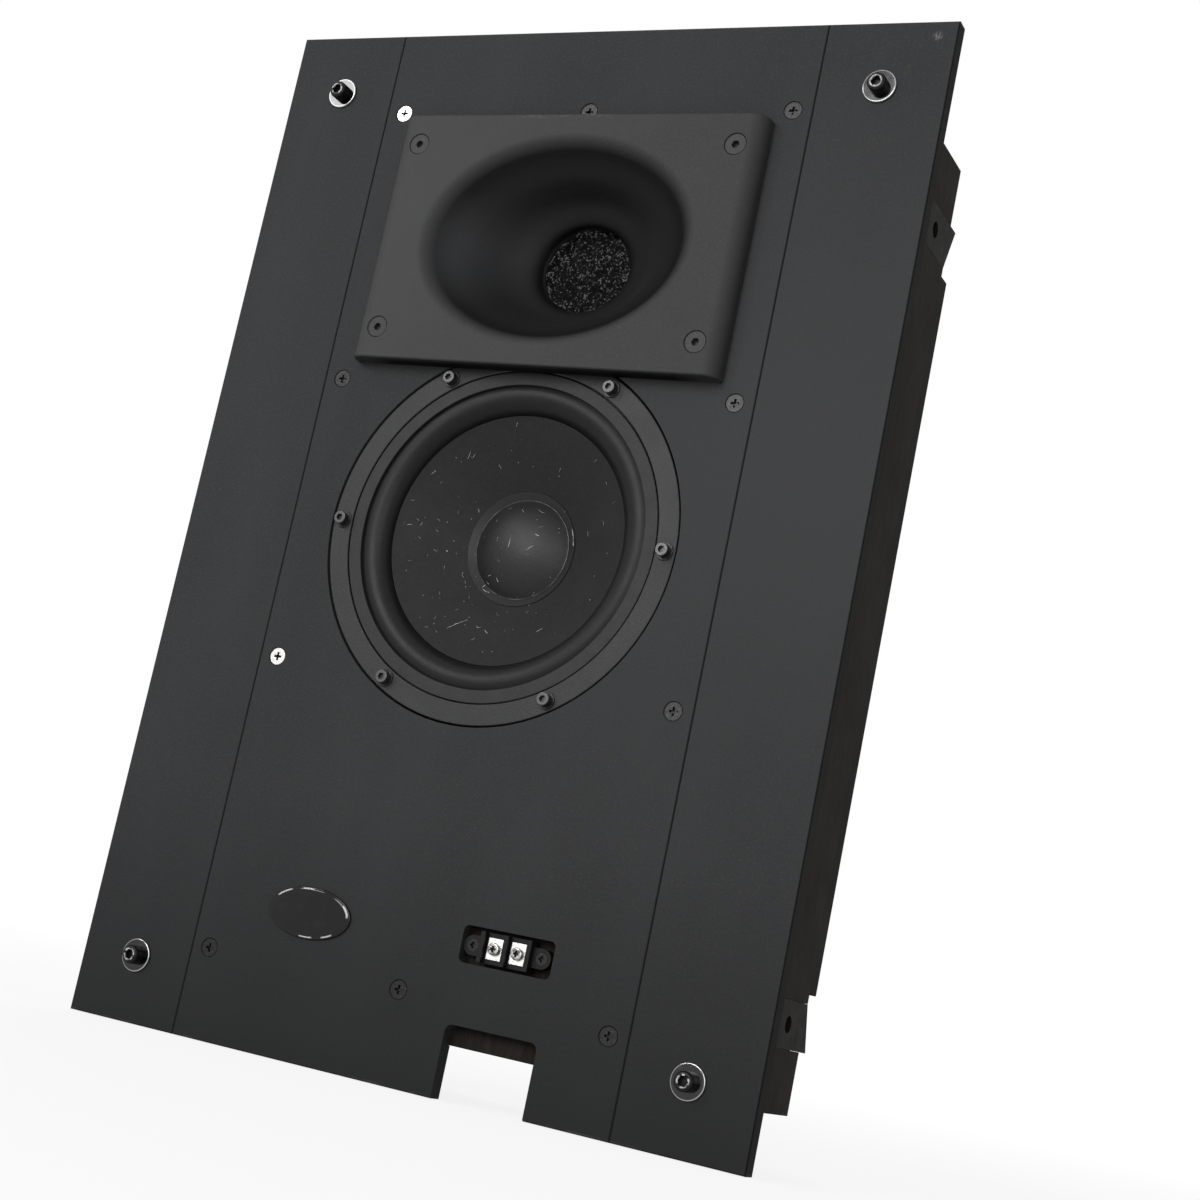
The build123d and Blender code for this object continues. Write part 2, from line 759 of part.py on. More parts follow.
# Surround: a rubber half roll from its landing on the frame to a lip glued behind the cone's edge.
landing_y = frame_floor_y - surround_thickness
landing_radius = frame_step_radius - trim_gap
lip_radius = cone_radius - surround_lip
lip_edge_y = cone_edge_y + cone_thickness + glue_gap
lip_end_y = lip_edge_y + surround_lip * cone_slope
with BuildPart() as woofer_surround:
    with BuildSketch(Plane.XY) as roll:
        with BuildLine():
            roll_foot = cone_radius + glue_gap
            roll_mid = (cone_radius + surround_outer_radius) / 2
            roll_top = cone_edge_y - surround_rise
            outside = ThreePointArc(
                (roll_foot, cone_edge_y),
                (roll_mid, roll_top),
                (surround_outer_radius, landing_y),
            )
            inside = ThreePointArc(
                (surround_outer_radius - surround_thickness, frame_floor_y),
                (roll_mid, roll_top + surround_thickness),
                (roll_foot + surround_thickness, lip_edge_y),
            )
            Polyline(
                outside @ 1,
                (landing_radius, landing_y),
                (landing_radius, frame_floor_y),
                inside @ 0,
            )
            Polyline(
                inside @ 1,
                (roll_foot, lip_edge_y + surround_thickness),
                (lip_radius, lip_end_y + surround_thickness),
                (lip_radius, lip_end_y),
                (roll_foot, lip_edge_y),
                outside @ 0,
            )
        make_face()
    revolve(roll.sketch, axis=Axis.Y)
finish(woofer_surround, "woofer_surround")

with BuildPart() as woofer_trim_ring:
    trim_y = landing_y - trim_thickness
    discs([(0, 0)], landing_radius, trim_y, landing_y)
    discs([(0, 0)], surround_outer_radius + glue_gap, trim_y, landing_y, mode=Mode.SUBTRACT)
    fillet(woofer_trim_ring.faces().sort_by(Axis.Y)[0].edges(), trim_thickness / 4)
finish(woofer_trim_ring, "woofer_trim_ring")

# Moving parts of the woofer: paper cone, domed dust cap, coil former and winding.
neck_radius = coil_radius + glue_gap
with BuildPart() as woofer_cone:
    cone_section = [
        (cone_radius, cone_edge_y),
        (cone_radius, cone_edge_y + cone_thickness),
        (neck_radius, cone_neck_y + cone_thickness),
        (neck_radius, cone_neck_y),
    ]
    turned([(0, 0)], cone_section)
finish(woofer_cone, "woofer_cone")

# The cap's flange is glued flat on the cone.
cap_inner = cap_radius - cap_thickness
cap_outer = cap_radius + cap_flange
cap_inner_y = cone_edge_y + (cone_radius - cap_inner) * cone_slope
cap_outer_y = cone_edge_y + (cone_radius - cap_outer) * cone_slope
cap_edge_y = cone_edge_y + (cone_radius - cap_radius) * cone_slope - cap_thickness
with BuildPart() as dust_cap:
    dome((0, 0), cap_radius, cap_rise, cap_edge_y, cap_thickness, -1)
    cap_rim = [
        (cap_inner, cap_inner_y),
        (cap_outer, cap_outer_y),
        (cap_outer, cap_outer_y - cap_thickness / 2),
        (cap_inner, cap_inner_y - cap_thickness / 2),
    ]
    turned([(0, 0)], cap_rim)
finish(dust_cap, "dust_cap")

winding_top_y = gap_mid_y - winding_height / 2
winding_end_y = gap_mid_y + winding_height / 2
with BuildPart() as coil_former:
    former_top_y = cone_neck_y - former_thickness
    discs([(0, 0)], coil_radius, former_top_y, winding_end_y)
    discs([(0, 0)], coil_radius - former_thickness, former_top_y, winding_end_y, mode=Mode.SUBTRACT)
finish(coil_former, "coil_former")

with BuildPart() as coil_winding:
    discs([(0, 0)], coil_radius + winding_thickness, winding_top_y, winding_end_y)
    discs([(0, 0)], coil_radius, winding_top_y, winding_end_y, mode=Mode.SUBTRACT)
finish(coil_winding, "coil_winding")

# Spider: a corrugated cloth disc from the coil former to the ledge inside the basket.
spider_outer = ledge_radius - frame_wall - glue_gap
spider_inner = coil_radius + glue_gap
spider_y = ledge_front_y - spider_thickness
with BuildPart() as woofer_spider:
    waves = 2 * spider_waves
    first = spider_inner + spider_hub
    last = ledge_inner - 2 * frame_wall - spider_thickness
    pitch = (last - first) / waves
    upper = [(spider_inner, spider_y), (first, spider_y)]
    upper += [
        (first + pitch * (step + 0.5), spider_y + spider_wave / 2 * (-1) ** step) for step in range(waves)
    ]
    upper += [(last, spider_y), (spider_outer, spider_y)]
    lower = [(radius, y + spider_thickness) for radius, y in reversed(upper)]
    turned([(0, 0)], upper + lower)
finish(woofer_spider, "woofer_spider")

# Woofer motor: a top plate, a ferrite ring and a yoke with the pole piece.
with BuildPart() as woofer_top_plate:
    discs([(0, 0)], plate_radius, seat_plane_y, magnet_y)
    bore = coil_radius + winding_thickness + magnet_gap
    discs([(0, 0)], bore, seat_plane_y, magnet_y, mode=Mode.SUBTRACT)
finish(woofer_top_plate, "woofer_top_plate")

with BuildPart() as woofer_magnet:
    discs([(0, 0)], magnet_radius, magnet_y, yoke_y)
    discs([(0, 0)], plate_radius / 2, magnet_y, yoke_y, mode=Mode.SUBTRACT)
    chamfer(woofer_magnet.edges(), edge_break)
finish(woofer_magnet, "woofer_magnet")

with BuildPart() as woofer_yoke:
    discs([(0, 0)], plate_radius, yoke_y, yoke_y + yoke_thickness)
    chamfer(woofer_yoke.faces().sort_by(Axis.Y)[-1].edges(), cover_edge)
    discs([(0, 0)], coil_radius - former_thickness - magnet_gap, seat_plane_y, yoke_y)
    discs([(0, 0)], pole_vent, seat_plane_y, yoke_y + yoke_thickness, mode=Mode.SUBTRACT)
finish(woofer_yoke, "woofer_yoke")

with BuildPart() as woofer_tag:
    tag_top = -ledge_inner
    blocks([(0, tag_top - tag_length / 2)], tag_width, tag_length, ledge_y, ledge_y + tag_thickness)
finish(woofer_tag, "woofer_tag")

# Waveguide: one moulding with a thick plate, an elliptical mouth and a flare that ends in a round throat.
with BuildPart() as waveguide:
    blocks([(0, horn_z)], plate_width, plate_height, plate_front_y, front_y)
    plate_face = waveguide.faces().sort_by(Axis.Y)[0]
    fillet(plate_face.edges().filter_by(Axis.Z), plate_side_round)
    chamfer(waveguide.faces().sort_by(Axis.Y)[0].edges().filter_by(Axis.X), plate_edge_break)
    loft(flare(flare_rows[2:], horn_wall))
    discs([(0, horn_z)], throat_radius + horn_wall, throat_y, horn_end_y)
    discs([(0, horn_z)], driver_radius, horn_end_y, driver_y)
    loft(flare(flare_rows, 0.0), mode=Mode.SUBTRACT)
    discs([(0, horn_z)], throat_radius, throat_y, driver_y, mode=Mode.SUBTRACT)
    flat_cut = countersunk(m6_flat_head + 2 * head_gap, m6 + 4 * screw_gap, plate_front_y, plate_proud)
    turned(horn_places, flat_cut, mode=Mode.SUBTRACT)
    discs(driver_places, m5 / 2 + screw_gap, horn_end_y, driver_y, mode=Mode.SUBTRACT)
finish(waveguide, "waveguide")

with BuildPart() as waveguide_screws:
    flat_front_y = plate_front_y + m6_flat_sink
    turned(horn_places, countersunk(m6_flat_head, m6, flat_front_y, horn_screw_length))
    hex_sockets(horn_places, m6_flat_socket, flat_front_y, socket_depth)
finish(waveguide_screws, "waveguide_screws")

with BuildPart() as foam_plug:
    discs([(0, horn_z)], throat_radius - foam_gap, throat_y, throat_y + foam_thickness)
    fillet(foam_plug.edges(), edge_break)
finish(foam_plug, "foam_plug")

# Compression driver on the horn's rear flange.
with BuildPart() as driver_throat_plate:
    discs([(0, horn_z)], driver_radius, driver_y, driver_magnet_y)
    plate_bore = diaphragm_radius + 2 * driver_cap_wall
    discs([(0, horn_z)], plate_bore, driver_y, driver_magnet_y, mode=Mode.SUBTRACT)
    discs(driver_places, m5 / 2 + screw_gap, driver_y, driver_magnet_y, mode=Mode.SUBTRACT)
finish(driver_throat_plate, "driver_throat_plate")

with BuildPart() as driver_magnet:
    discs([(0, horn_z)], driver_radius - 2 * driver_cap_wall, driver_magnet_y, driver_yoke_y)
    discs([(0, horn_z)], driver_bore, driver_magnet_y, driver_yoke_y, mode=Mode.SUBTRACT)
    discs(driver_places, m5 / 2 + screw_gap, driver_magnet_y, driver_yoke_y, mode=Mode.SUBTRACT)
finish(driver_magnet, "driver_magnet")

with BuildPart() as driver_phase_plug:
    plug_base_y = driver_yoke_y - driver_cap_wall
    discs([(0, horn_z)], driver_bore - foam_gap, plug_base_y, driver_yoke_y)
    turned([(0, horn_z)], [(0, driver_magnet_y), (plug_radius, plug_base_y), (0, plug_base_y)])
    slot_ring = (plug_radius + driver_bore) / 2
    slot_angles = [radians(60 * step) for step in range(6)]
    slot_places = [(slot_ring * cos(angle), horn_z + slot_ring * sin(angle)) for angle in slot_angles]
    slot_radius = (driver_bore - plug_radius) / 4
    discs(slot_places, slot_radius, plug_base_y, driver_yoke_y, mode=Mode.SUBTRACT)
finish(driver_phase_plug, "driver_phase_plug")

with BuildPart() as driver_yoke:
    discs([(0, horn_z)], driver_radius - 2 * driver_cap_wall, driver_yoke_y, driver_cap_y)
    discs([(0, horn_z)], diaphragm_radius, driver_yoke_y, driver_cap_y, mode=Mode.SUBTRACT)
    discs(driver_places, m5 / 2 + screw_gap, driver_yoke_y, driver_cap_y, mode=Mode.SUBTRACT)
finish(driver_yoke, "driver_yoke")

with BuildPart() as driver_diaphragm:
    rim_y = driver_cap_y + diaphragm_thickness
    discs([(0, horn_z)], driver_cap_radius - 2 * driver_cap_wall, driver_cap_y, rim_y)
    discs([(0, horn_z)], dome_radius - diaphragm_thickness, driver_cap_y, rim_y, mode=Mode.SUBTRACT)
    dome((0, horn_z), dome_radius, diaphragm_rise, rim_y, diaphragm_thickness, 1)
finish(driver_diaphragm, "driver_diaphragm")

with BuildPart() as driver_cap:
    cap_back_y = driver_cap_y + driver_cap_height
    discs([(0, horn_z)], driver_cap_radius, driver_cap_y, cap_back_y)
    fillet(driver_cap.faces().sort_by(Axis.Y)[-1].edges(), 2 * edge_break)
    discs(
        [(0, horn_z)],
        driver_cap_radius - driver_cap_wall,
        driver_cap_y,
        cap_back_y - driver_cap_wall / 2,
        mode=Mode.SUBTRACT,
    )
finish(driver_cap, "driver_cap")

with BuildPart() as driver_screws:
    screw_back_y = driver_cap_y + m5_head_height
    discs(driver_places, m5_head / 2, driver_cap_y, screw_back_y)
    discs(driver_places, m5 / 2, horn_end_y + blind_end, driver_cap_y)
    hex_sockets(driver_places, m5_socket, screw_back_y - socket_depth, socket_depth)
finish(driver_screws, "driver_screws")

# Terminal strip in the window: a moulded base with round ears and three walls, two plates with clamp screws
# between the walls, and a fixing screw in each ear.
terminal_back_y = seat_y
terminal_floor_y = terminal_back_y - terminal_base
terminal_front_y = front_y - terminal_proud
with BuildPart() as terminal_block:
    with BuildSketch(at_depth(terminal_floor_y)) as ears:
        with Locations((terminal_x, window_z)):
            SlotOverall(terminal_fixing_span + terminal_ear, terminal_ear)
    extrude(ears.sketch, amount=-terminal_base)
    body_width = 2 * terminal_pitch + terminal_ridge
    blocks([(terminal_x, window_z)], body_width, terminal_height, terminal_floor_y, terminal_back_y)
    ridge_places = [(terminal_x + step * terminal_pitch, window_z) for step in (-1, 0, 1)]
    blocks(ridge_places, terminal_ridge, terminal_height, terminal_front_y, terminal_floor_y)
    stud_hole = terminal_stud / 2 + screw_gap
    discs(terminal_places, stud_hole, terminal_floor_y, terminal_back_y, mode=Mode.SUBTRACT)
    fixing_cut = countersunk(
        clip_screw_head + 2 * screw_gap, clip_screw + 2 * screw_gap, terminal_floor_y, terminal_base
    )
    turned(fixing_places, fixing_cut, mode=Mode.SUBTRACT)
finish(terminal_block, "terminal_block")

plate_y = terminal_floor_y - terminal_plate
with BuildPart() as terminal_plates:
    blocks(terminal_places, terminal_plate_width, terminal_plate_height, plate_y, terminal_floor_y)
    discs(terminal_places, stud_hole, plate_y, terminal_floor_y, mode=Mode.SUBTRACT)
finish(terminal_plates, "terminal_plates")

with BuildPart() as terminal_screws:
    head_y = plate_y - terminal_head_height
    discs(terminal_places, terminal_head / 2, head_y, plate_y)
    fillet(terminal_screws.faces().sort_by(Axis.Y)[0:2].edges(), terminal_head_height / 3)
    cross_slots(terminal_places, terminal_head / 2, head_y)
    discs(terminal_places, terminal_stud / 2, plate_y, sub_back_y + terminal_tail)
finish(terminal_screws, "terminal_screws")

with BuildPart() as terminal_fixings:
    turned(fixing_places, countersunk(clip_screw_head, clip_screw, terminal_floor_y, clip_screw_length))
    cross_slots(fixing_places, clip_screw_head / 2, terminal_floor_y)
finish(terminal_fixings, "terminal_fixings")

# Badge: a bare domed oval stuck to the centre board.
with BuildPart() as badge:
    with BuildSketch(at_depth(front_y)) as oval:
        with Locations((badge_x, badge_z)):
            Ellipse(badge_width / 2, badge_height / 2)
    extrude(oval.sketch, amount=badge_thickness)
    fillet(badge.faces().sort_by(Axis.Y)[0].edges(), badge_round)
finish(badge, "badge")

# Crossover below the woofer, on standoffs behind the sub-baffle.
pcb_z = pcb_rise - inner_height / 2
standoff_places = [
    (x, pcb_z + rise)
    for x in (standoff_inset - pcb_width / 2, pcb_width / 2 - standoff_inset)
    for rise in (standoff_inset - pcb_height / 2, pcb_height / 2 - standoff_inset)
]
pcb_back_y = pcb_y + pcb_thickness
with BuildPart() as crossover_standoffs:
    discs(standoff_places, standoff_radius, sub_back_y, pcb_y)
finish(crossover_standoffs, "crossover_standoffs")

with BuildPart() as crossover_board:
    blocks([(0, pcb_z)], pcb_width, pcb_height, pcb_y, pcb_back_y)
finish(crossover_board, "crossover_board")

part_x = pcb_width / 4
with BuildPart() as crossover_coil:
    discs([(-part_x, pcb_z)], coil_outer, pcb_back_y, pcb_back_y + coil_height)
    discs([(-part_x, pcb_z)], coil_inner, pcb_back_y, pcb_back_y + coil_height, mode=Mode.SUBTRACT)
    fillet(crossover_coil.edges(), 2 * edge_break)
finish(crossover_coil, "crossover_coil")

with BuildPart() as crossover_capacitors:
    for rise in (-1, 1):
        centre_z = pcb_z + rise * (capacitor_radius + capacitor_gap)
        rod_plane = Plane(origin=(part_x, pcb_back_y + capacitor_radius, centre_z), z_dir=(1, 0, 0))
        with BuildSketch(rod_plane) as rod:
            Circle(capacitor_radius)
        extrude(rod.sketch, amount=capacitor_length / 2, both=True)
    fillet(crossover_capacitors.edges().filter_by(GeomType.CIRCLE), edge_break)
finish(crossover_capacitors, "crossover_capacitors")

resistor_z = pcb_z + pcb_height / 2 - resistor_width / 2 - resistor_margin
with BuildPart() as crossover_resistor:
    blocks([(part_x, resistor_z)], resistor_length, resistor_width, pcb_back_y, pcb_back_y + resistor_width)
finish(crossover_resistor, "crossover_resistor")

# Leads held inside: terminal to crossover, crossover to woofer tag, crossover to compression driver.
lead_y = pcb_back_y + lead_radius + foam_gap


def lead(name, bend, *points):
    """A twin lead as one round tube along straight runs with rounded corners."""
    with BuildPart() as tube:
        with BuildLine() as route:
            FilletPolyline(*points, radius=bend)
        with BuildSketch(Plane(origin=route.line @ 0, z_dir=route.line % 0)) as section:
            Circle(lead_radius)
        sweep(section.sketch, path=route.line)
    finish(tube, name)


lead(
    "lead_terminal",
    4 * lead_radius,
    (terminal_x, sub_back_y + foam_gap, window_z),
    (terminal_x, lead_y + lead_loop, window_z),
    (terminal_x, lead_y + lead_loop, pcb_z - pcb_height / 2 + lead_inset),
    (terminal_x, pcb_back_y + foam_gap, pcb_z - pcb_height / 2 + lead_inset),
)
tag_y = ledge_y + tag_thickness
lead(
    "lead_woofer",
    3 * lead_radius,
    (0, pcb_back_y + foam_gap, pcb_z + pcb_height / 2 - lead_inset),
    (0, tag_y + lead_radius + foam_gap, pcb_z + pcb_height / 2 - lead_inset),
    (0, tag_y + lead_radius + foam_gap, tag_top - tag_length / 2),
)
riser_x = inner_width / 2 - lining_thickness - 4 * lead_radius
driver_side = driver_radius - 2 * driver_cap_wall
driver_lead_y = (driver_magnet_y + driver_yoke_y) / 2
lead(
    "lead_driver",
    5 * lead_radius,
    (pcb_width / 2 - 2 * standoff_inset, pcb_back_y + foam_gap, pcb_z),
    (pcb_width / 2 - 2 * standoff_inset, driver_lead_y, pcb_z),
    (riser_x, driver_lead_y, pcb_z),
    (riser_x, driver_lead_y, horn_z),
    (driver_side + foam_gap, driver_lead_y, horn_z),
)

# Felt lining on the cabinet's two sides.
lining_x = (inner_width - lining_thickness) / 2
with BuildPart() as side_linings:
    blocks(
        [(-lining_x, 0), (lining_x, 0)],
        lining_thickness,
        inner_height - 2 * lining_margin,
        sub_back_y,
        rear_inner_y,
    )
finish(side_linings, "side_linings")
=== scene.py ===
import math
import random

import bpy
from mathutils import Matrix, Vector


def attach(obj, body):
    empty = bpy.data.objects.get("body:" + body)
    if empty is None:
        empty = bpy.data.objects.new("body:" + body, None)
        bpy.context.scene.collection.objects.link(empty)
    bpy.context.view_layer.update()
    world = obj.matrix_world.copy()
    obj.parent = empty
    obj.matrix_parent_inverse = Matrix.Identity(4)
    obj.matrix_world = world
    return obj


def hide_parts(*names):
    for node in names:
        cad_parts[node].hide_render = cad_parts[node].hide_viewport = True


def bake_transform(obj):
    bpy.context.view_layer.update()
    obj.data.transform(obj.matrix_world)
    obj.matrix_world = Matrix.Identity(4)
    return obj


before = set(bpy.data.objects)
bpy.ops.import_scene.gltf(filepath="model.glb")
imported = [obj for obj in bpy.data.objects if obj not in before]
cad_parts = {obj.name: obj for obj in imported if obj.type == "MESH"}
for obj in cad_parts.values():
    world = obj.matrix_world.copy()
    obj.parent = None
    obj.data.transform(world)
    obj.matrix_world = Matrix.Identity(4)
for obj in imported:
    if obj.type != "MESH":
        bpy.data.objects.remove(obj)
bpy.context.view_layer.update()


# Cabinet: boards of fibreboard, glued and screwed into the box that goes into the wall.
# Their black stain shows a little brown where light falls on it, with fine fibres along the boards,
# and it has rubbed thin in places.
def new_finish(name, colour, roughness, specular=0.5, metallic=0.0):
    """A finish with its even values on the shader's own sockets."""
    finish = bpy.data.materials.new(name)
    finish.use_nodes = True
    shader = finish.node_tree.nodes["Principled BSDF"]
    shader.inputs["Base Color"].default_value = (*colour, 1.0)
    shader.inputs["Roughness"].default_value = roughness
    shader.inputs["Specular IOR Level"].default_value = specular
    shader.inputs["Metallic"].default_value = metallic
    return finish


def add(finish, kind, inputs, **settings):
    """One node of a finish. An input is a number or a colour, or what another node gives."""
    node = finish.node_tree.nodes.new(kind)
    for name, value in settings.items():
        setattr(node, name, value)
    for name, value in inputs.items():
        if isinstance(value, bpy.types.NodeSocket):
            finish.node_tree.links.new(value, node.inputs[name])
        else:
            node.inputs[name].default_value = value
    return node


def spread(finish, factor, low, high):
    """The factor with low to high spread over 0 to 1."""
    return add(finish, "ShaderNodeMapRange", {"Value": factor, "From Min": low, "From Max": high}).outputs[0]


def spots(finish, scale, detail=3.0, stretch=(1.0, 1.0, 1.0)):
    """Noise on the object's own coordinates, with scale in spots to the metre."""
    place = add(finish, "ShaderNodeTexCoord", {}).outputs["Object"]
    drawn = add(finish, "ShaderNodeMapping", {"Vector": place, "Scale": stretch}).outputs["Vector"]
    return add(finish, "ShaderNodeTexNoise", {"Vector": drawn, "Scale": scale, "Detail": detail}).outputs[0]


def tint(finish, factor, colour):
    """Lays a colour over what the finish has, as strongly as the factor says."""
    base = finish.node_tree.nodes["Principled BSDF"].inputs["Base Color"]
    under = base.links[0].from_socket if base.links else tuple(base.default_value)
    mixed = add(finish, "ShaderNodeMix", {0: factor, 6: under, 7: (*colour, 1.0)}, data_type="RGBA")
    finish.node_tree.links.new(mixed.outputs[2], base)


def gloss(finish, factor, low, high):
    """Roughness from low to high over the factor."""
    rough = add(finish, "ShaderNodeMapRange", {"Value": factor, "To Min": low, "To Max": high}).outputs[0]
    finish.node_tree.links.new(rough, finish.node_tree.nodes["Principled BSDF"].inputs["Roughness"])


def grain(finish, height, depth):
    """Relief of that depth, on top of the relief that the finish has."""
    normal = finish.node_tree.nodes["Principled BSDF"].inputs["Normal"]
    inputs = {"Height": height, "Distance": depth}
    if normal.links:
        inputs["Normal"] = normal.links[0].from_socket
    relief = add(finish, "ShaderNodeBump", inputs)
    finish.node_tree.links.new(relief.outputs[0], normal)


def dress(finish, *nodes):
    """Gives pieces of the frame a finish."""
    for name in nodes:
        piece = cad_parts[name]
        if not piece.material_slots:
            piece.data.materials.append(finish)
        for slot in piece.material_slots:
            slot.material = finish


stain = new_finish("cabinet_stain", (0.0150, 0.0130, 0.0115), 0.62, specular=0.03)
tint(stain, spread(stain, spots(stain, 60, 5, (8, 8, 1)), 0.42, 0.68), (0.0230, 0.0200, 0.0175))
tint(stain, spread(stain, spots(stain, 14, 4), 0.60, 0.74), (0.0290, 0.0250, 0.0212))
gloss(stain, spots(stain, 30), 0.56, 0.74)
grain(stain, spots(stain, 1100, 2, (2, 2, 0.5)), 0.00015)
dress(stain, "cabinet_left", "cabinet_right", "cabinet_top", "cabinet_bottom", "sub_baffle", "rear_board")


# Side linings: grey felt sheets stuck on the inside of the cabinet's sides to damp it.
# The felt is a mat of pressed fibres in light and dark greys.
felt = new_finish("lining_felt", (0.11, 0.11, 0.115), 0.95, specular=0.1)
tint(felt, spread(felt, spots(felt, 700, 4), 0.42, 0.66), (0.21, 0.21, 0.20))
tint(felt, spread(felt, spots(felt, 240, 5, (1, 1, 3)), 0.60, 0.70), (0.05, 0.05, 0.055))
grain(felt, spots(felt, 900, 5), 0.0006)
dress(felt, "side_linings")


# Insert nuts: turned brass, pressed into the sub-baffle for the bolts of the panel and the drivers.
# The brass has dulled, with fine turning marks.
brass = new_finish("insert_brass", (0.62, 0.46, 0.19), 0.32, metallic=1.0)
tint(brass, spread(brass, spots(brass, 220, 3), 0.48, 0.70), (0.42, 0.29, 0.12))
gloss(brass, spots(brass, 900), 0.24, 0.44)
grain(brass, spots(brass, 2500, 1, (0.2, 4, 0.2)), 0.00005)
dress(brass, "insert_nuts")


# Front panel: a centre baffle between two full-height strips, three boards with fine seams between them.
# Rolled-on satin black paint over fibreboard: a fine pebble all over, faint roller bands, paler rubbed
# edges and one pale scrape at the upper right corner. Shade and sheen are also painted into it, as marked
# below.
def near(finish, centre, inner, outer, stretch=(1.0, 1.0, 1.0)):
    """1 within inner of a point and 0 beyond outer; a stretch above 1 shortens the reach along that axis."""
    place = add(finish, "ShaderNodeTexCoord", {}).outputs["Object"]
    shift = [-middle * factor for middle, factor in zip(centre, stretch)]
    moved = add(finish, "ShaderNodeMapping", {"Vector": place, "Scale": stretch, "Location": shift})
    reach = add(finish, "ShaderNodeVectorMath", {0: moved.outputs[0]}, operation="LENGTH").outputs["Value"]
    return spread(finish, reach, outer, inner)


def both(finish, first, second):
    """Where two factors hold together."""
    return add(finish, "ShaderNodeMath", {0: first, 1: second}, operation="MULTIPLY").outputs[0]


def coordinate(finish, axis, mirrored=False):
    """The object's own X, Y or Z, or how far it is from the middle."""
    place = add(finish, "ShaderNodeTexCoord", {}).outputs["Object"]
    along = add(finish, "ShaderNodeSeparateXYZ", {"Vector": place}).outputs[axis]
    if mirrored:
        along = add(finish, "ShaderNodeMath", {0: along}, operation="ABSOLUTE").outputs[0]
    return along


panel_paint = new_finish("panel_paint", (0.0335, 0.0341, 0.0354), 0.60, specular=0.035)
rolled = spread(panel_paint, spots(panel_paint, 5, 3, (3, 1, 1)), 0.40, 0.66)
tint(panel_paint, rolled, (0.0375, 0.0382, 0.0395))
# Painted sheen: a broad patch at the right middle of the panel is painted lighter.
painted_sheen_right_middle = near(panel_paint, (0.170, -0.009, 0.050), 0.030, 0.220)
tint(panel_paint, painted_sheen_right_middle, (0.0440, 0.0447, 0.0462))
pebble = spread(panel_paint, spots(panel_paint, 900, 2), 0.54, 0.74)
tint(panel_paint, pebble, (0.0480, 0.0488, 0.0502))
# Painted shade: the panel is painted darker towards the bottom.
painted_shade_lower_part = spread(panel_paint, coordinate(panel_paint, "Z"), -0.150, -0.320)
tint(panel_paint, painted_shade_lower_part, (0.0200, 0.0204, 0.0211))
across = coordinate(panel_paint, "X", mirrored=True)
seam_x = 0.1300
seams = both(
    panel_paint,
    spread(panel_paint, across, seam_x - 0.0007, seam_x - 0.0001),
    spread(panel_paint, across, seam_x + 0.0007, seam_x + 0.0001),
)
tint(panel_paint, seams, (0.0120, 0.0121, 0.0124))
# Painted shade: the boards' side edges are painted darker.
tint(panel_paint, spread(panel_paint, across, 0.1992, 0.1998), (0.0060, 0.0056, 0.0053))
panel_rim = spread(panel_paint, coordinate(panel_paint, "Z", mirrored=True), 0.2885, 0.2899)
rubbed = both(panel_paint, panel_rim, spread(panel_paint, spots(panel_paint, 60), 0.48, 0.62))
tint(panel_paint, rubbed, (0.060, 0.060, 0.060))
scrape = both(
    panel_paint,
    near(panel_paint, (0.1897, -0.009, 0.2818), 0.0010, 0.0032),
    spread(panel_paint, spots(panel_paint, 420, 1, (3, 1, 1)), 0.46, 0.56),
)
tint(panel_paint, scrape, (0.12, 0.12, 0.117))
gloss(panel_paint, spots(panel_paint, 22), 0.56, 0.68)
grain(panel_paint, spots(panel_paint, 1500, 2), 0.00016)
dress(panel_paint, "centre_baffle", "left_strip", "right_strip")


# Corner bolts and washers: four socket-head bolts on big plain washers hold the panel to the cabinet.
# Both are blacked steel with a polish: the washers carry a painted highlight along the rim, and the bolts a
# bright socket rim that is partly wear and partly a painted glint.
def from_axis(finish, x, z, mirrored=False):
    """How far a point is from a line along Y at that x and z, or from its copies in all four corners."""
    across = coordinate(finish, "X", mirrored)
    up = coordinate(finish, "Z", mirrored)
    flat = add(finish, "ShaderNodeCombineXYZ", {"X": across, "Y": up}).outputs[0]
    moved = add(finish, "ShaderNodeVectorMath", {0: flat, 1: (x, z, 0.0)}, operation="DISTANCE")
    return moved.outputs["Value"]


corner_x, corner_z = 0.164, 0.254
washer_black = new_finish("washer_black", (0.046, 0.046, 0.047), 0.10, metallic=1.0)
washer_reach = from_axis(washer_black, corner_x, corner_z, mirrored=True)
tint(washer_black, spread(washer_black, spots(washer_black, 260, 3), 0.50, 0.74), (0.062, 0.062, 0.062))
# Painted highlight: a bright ring is painted along each washer's rim.
tint(washer_black, spread(washer_black, washer_reach, 0.0082, 0.0087), (0.40, 0.40, 0.395))
gloss(washer_black, spots(washer_black, 300), 0.07, 0.14)
grain(washer_black, spots(washer_black, 300, 1), 0.000006)
dress(washer_black, "corner_washers")

bolt_black = new_finish("bolt_black", (0.0050, 0.0050, 0.0053), 0.20, specular=0.15)
socket_rim = from_axis(bolt_black, corner_x, corner_z, mirrored=True)
# The bright broken ring at each socket's rim is partly bare-metal wear and partly a painted glint.
socket_ring = both(
    bolt_black,
    spread(bolt_black, socket_rim, 0.0036, 0.0031),
    spread(bolt_black, socket_rim, 0.0023, 0.0026),
)
head_top = spread(bolt_black, coordinate(bolt_black, "Y"), -0.0155, -0.0162)
socket_rim_wear_and_glint = both(bolt_black, socket_ring, head_top)
tint(bolt_black, spread(bolt_black, spots(bolt_black, 700, 3), 0.58, 0.75), (0.02, 0.02, 0.02))
worn_glint_spots = both(bolt_black, socket_rim_wear_and_glint, spread(bolt_black, spots(bolt_black, 420, 1), 0.40, 0.60))
tint(bolt_black, worn_glint_spots, (0.60, 0.60, 0.58))
gloss(bolt_black, spots(bolt_black, 800), 0.18, 0.32)
grain(bolt_black, spots(bolt_black, 2400, 1), 0.00005)
dress(bolt_black, "corner_bolts")


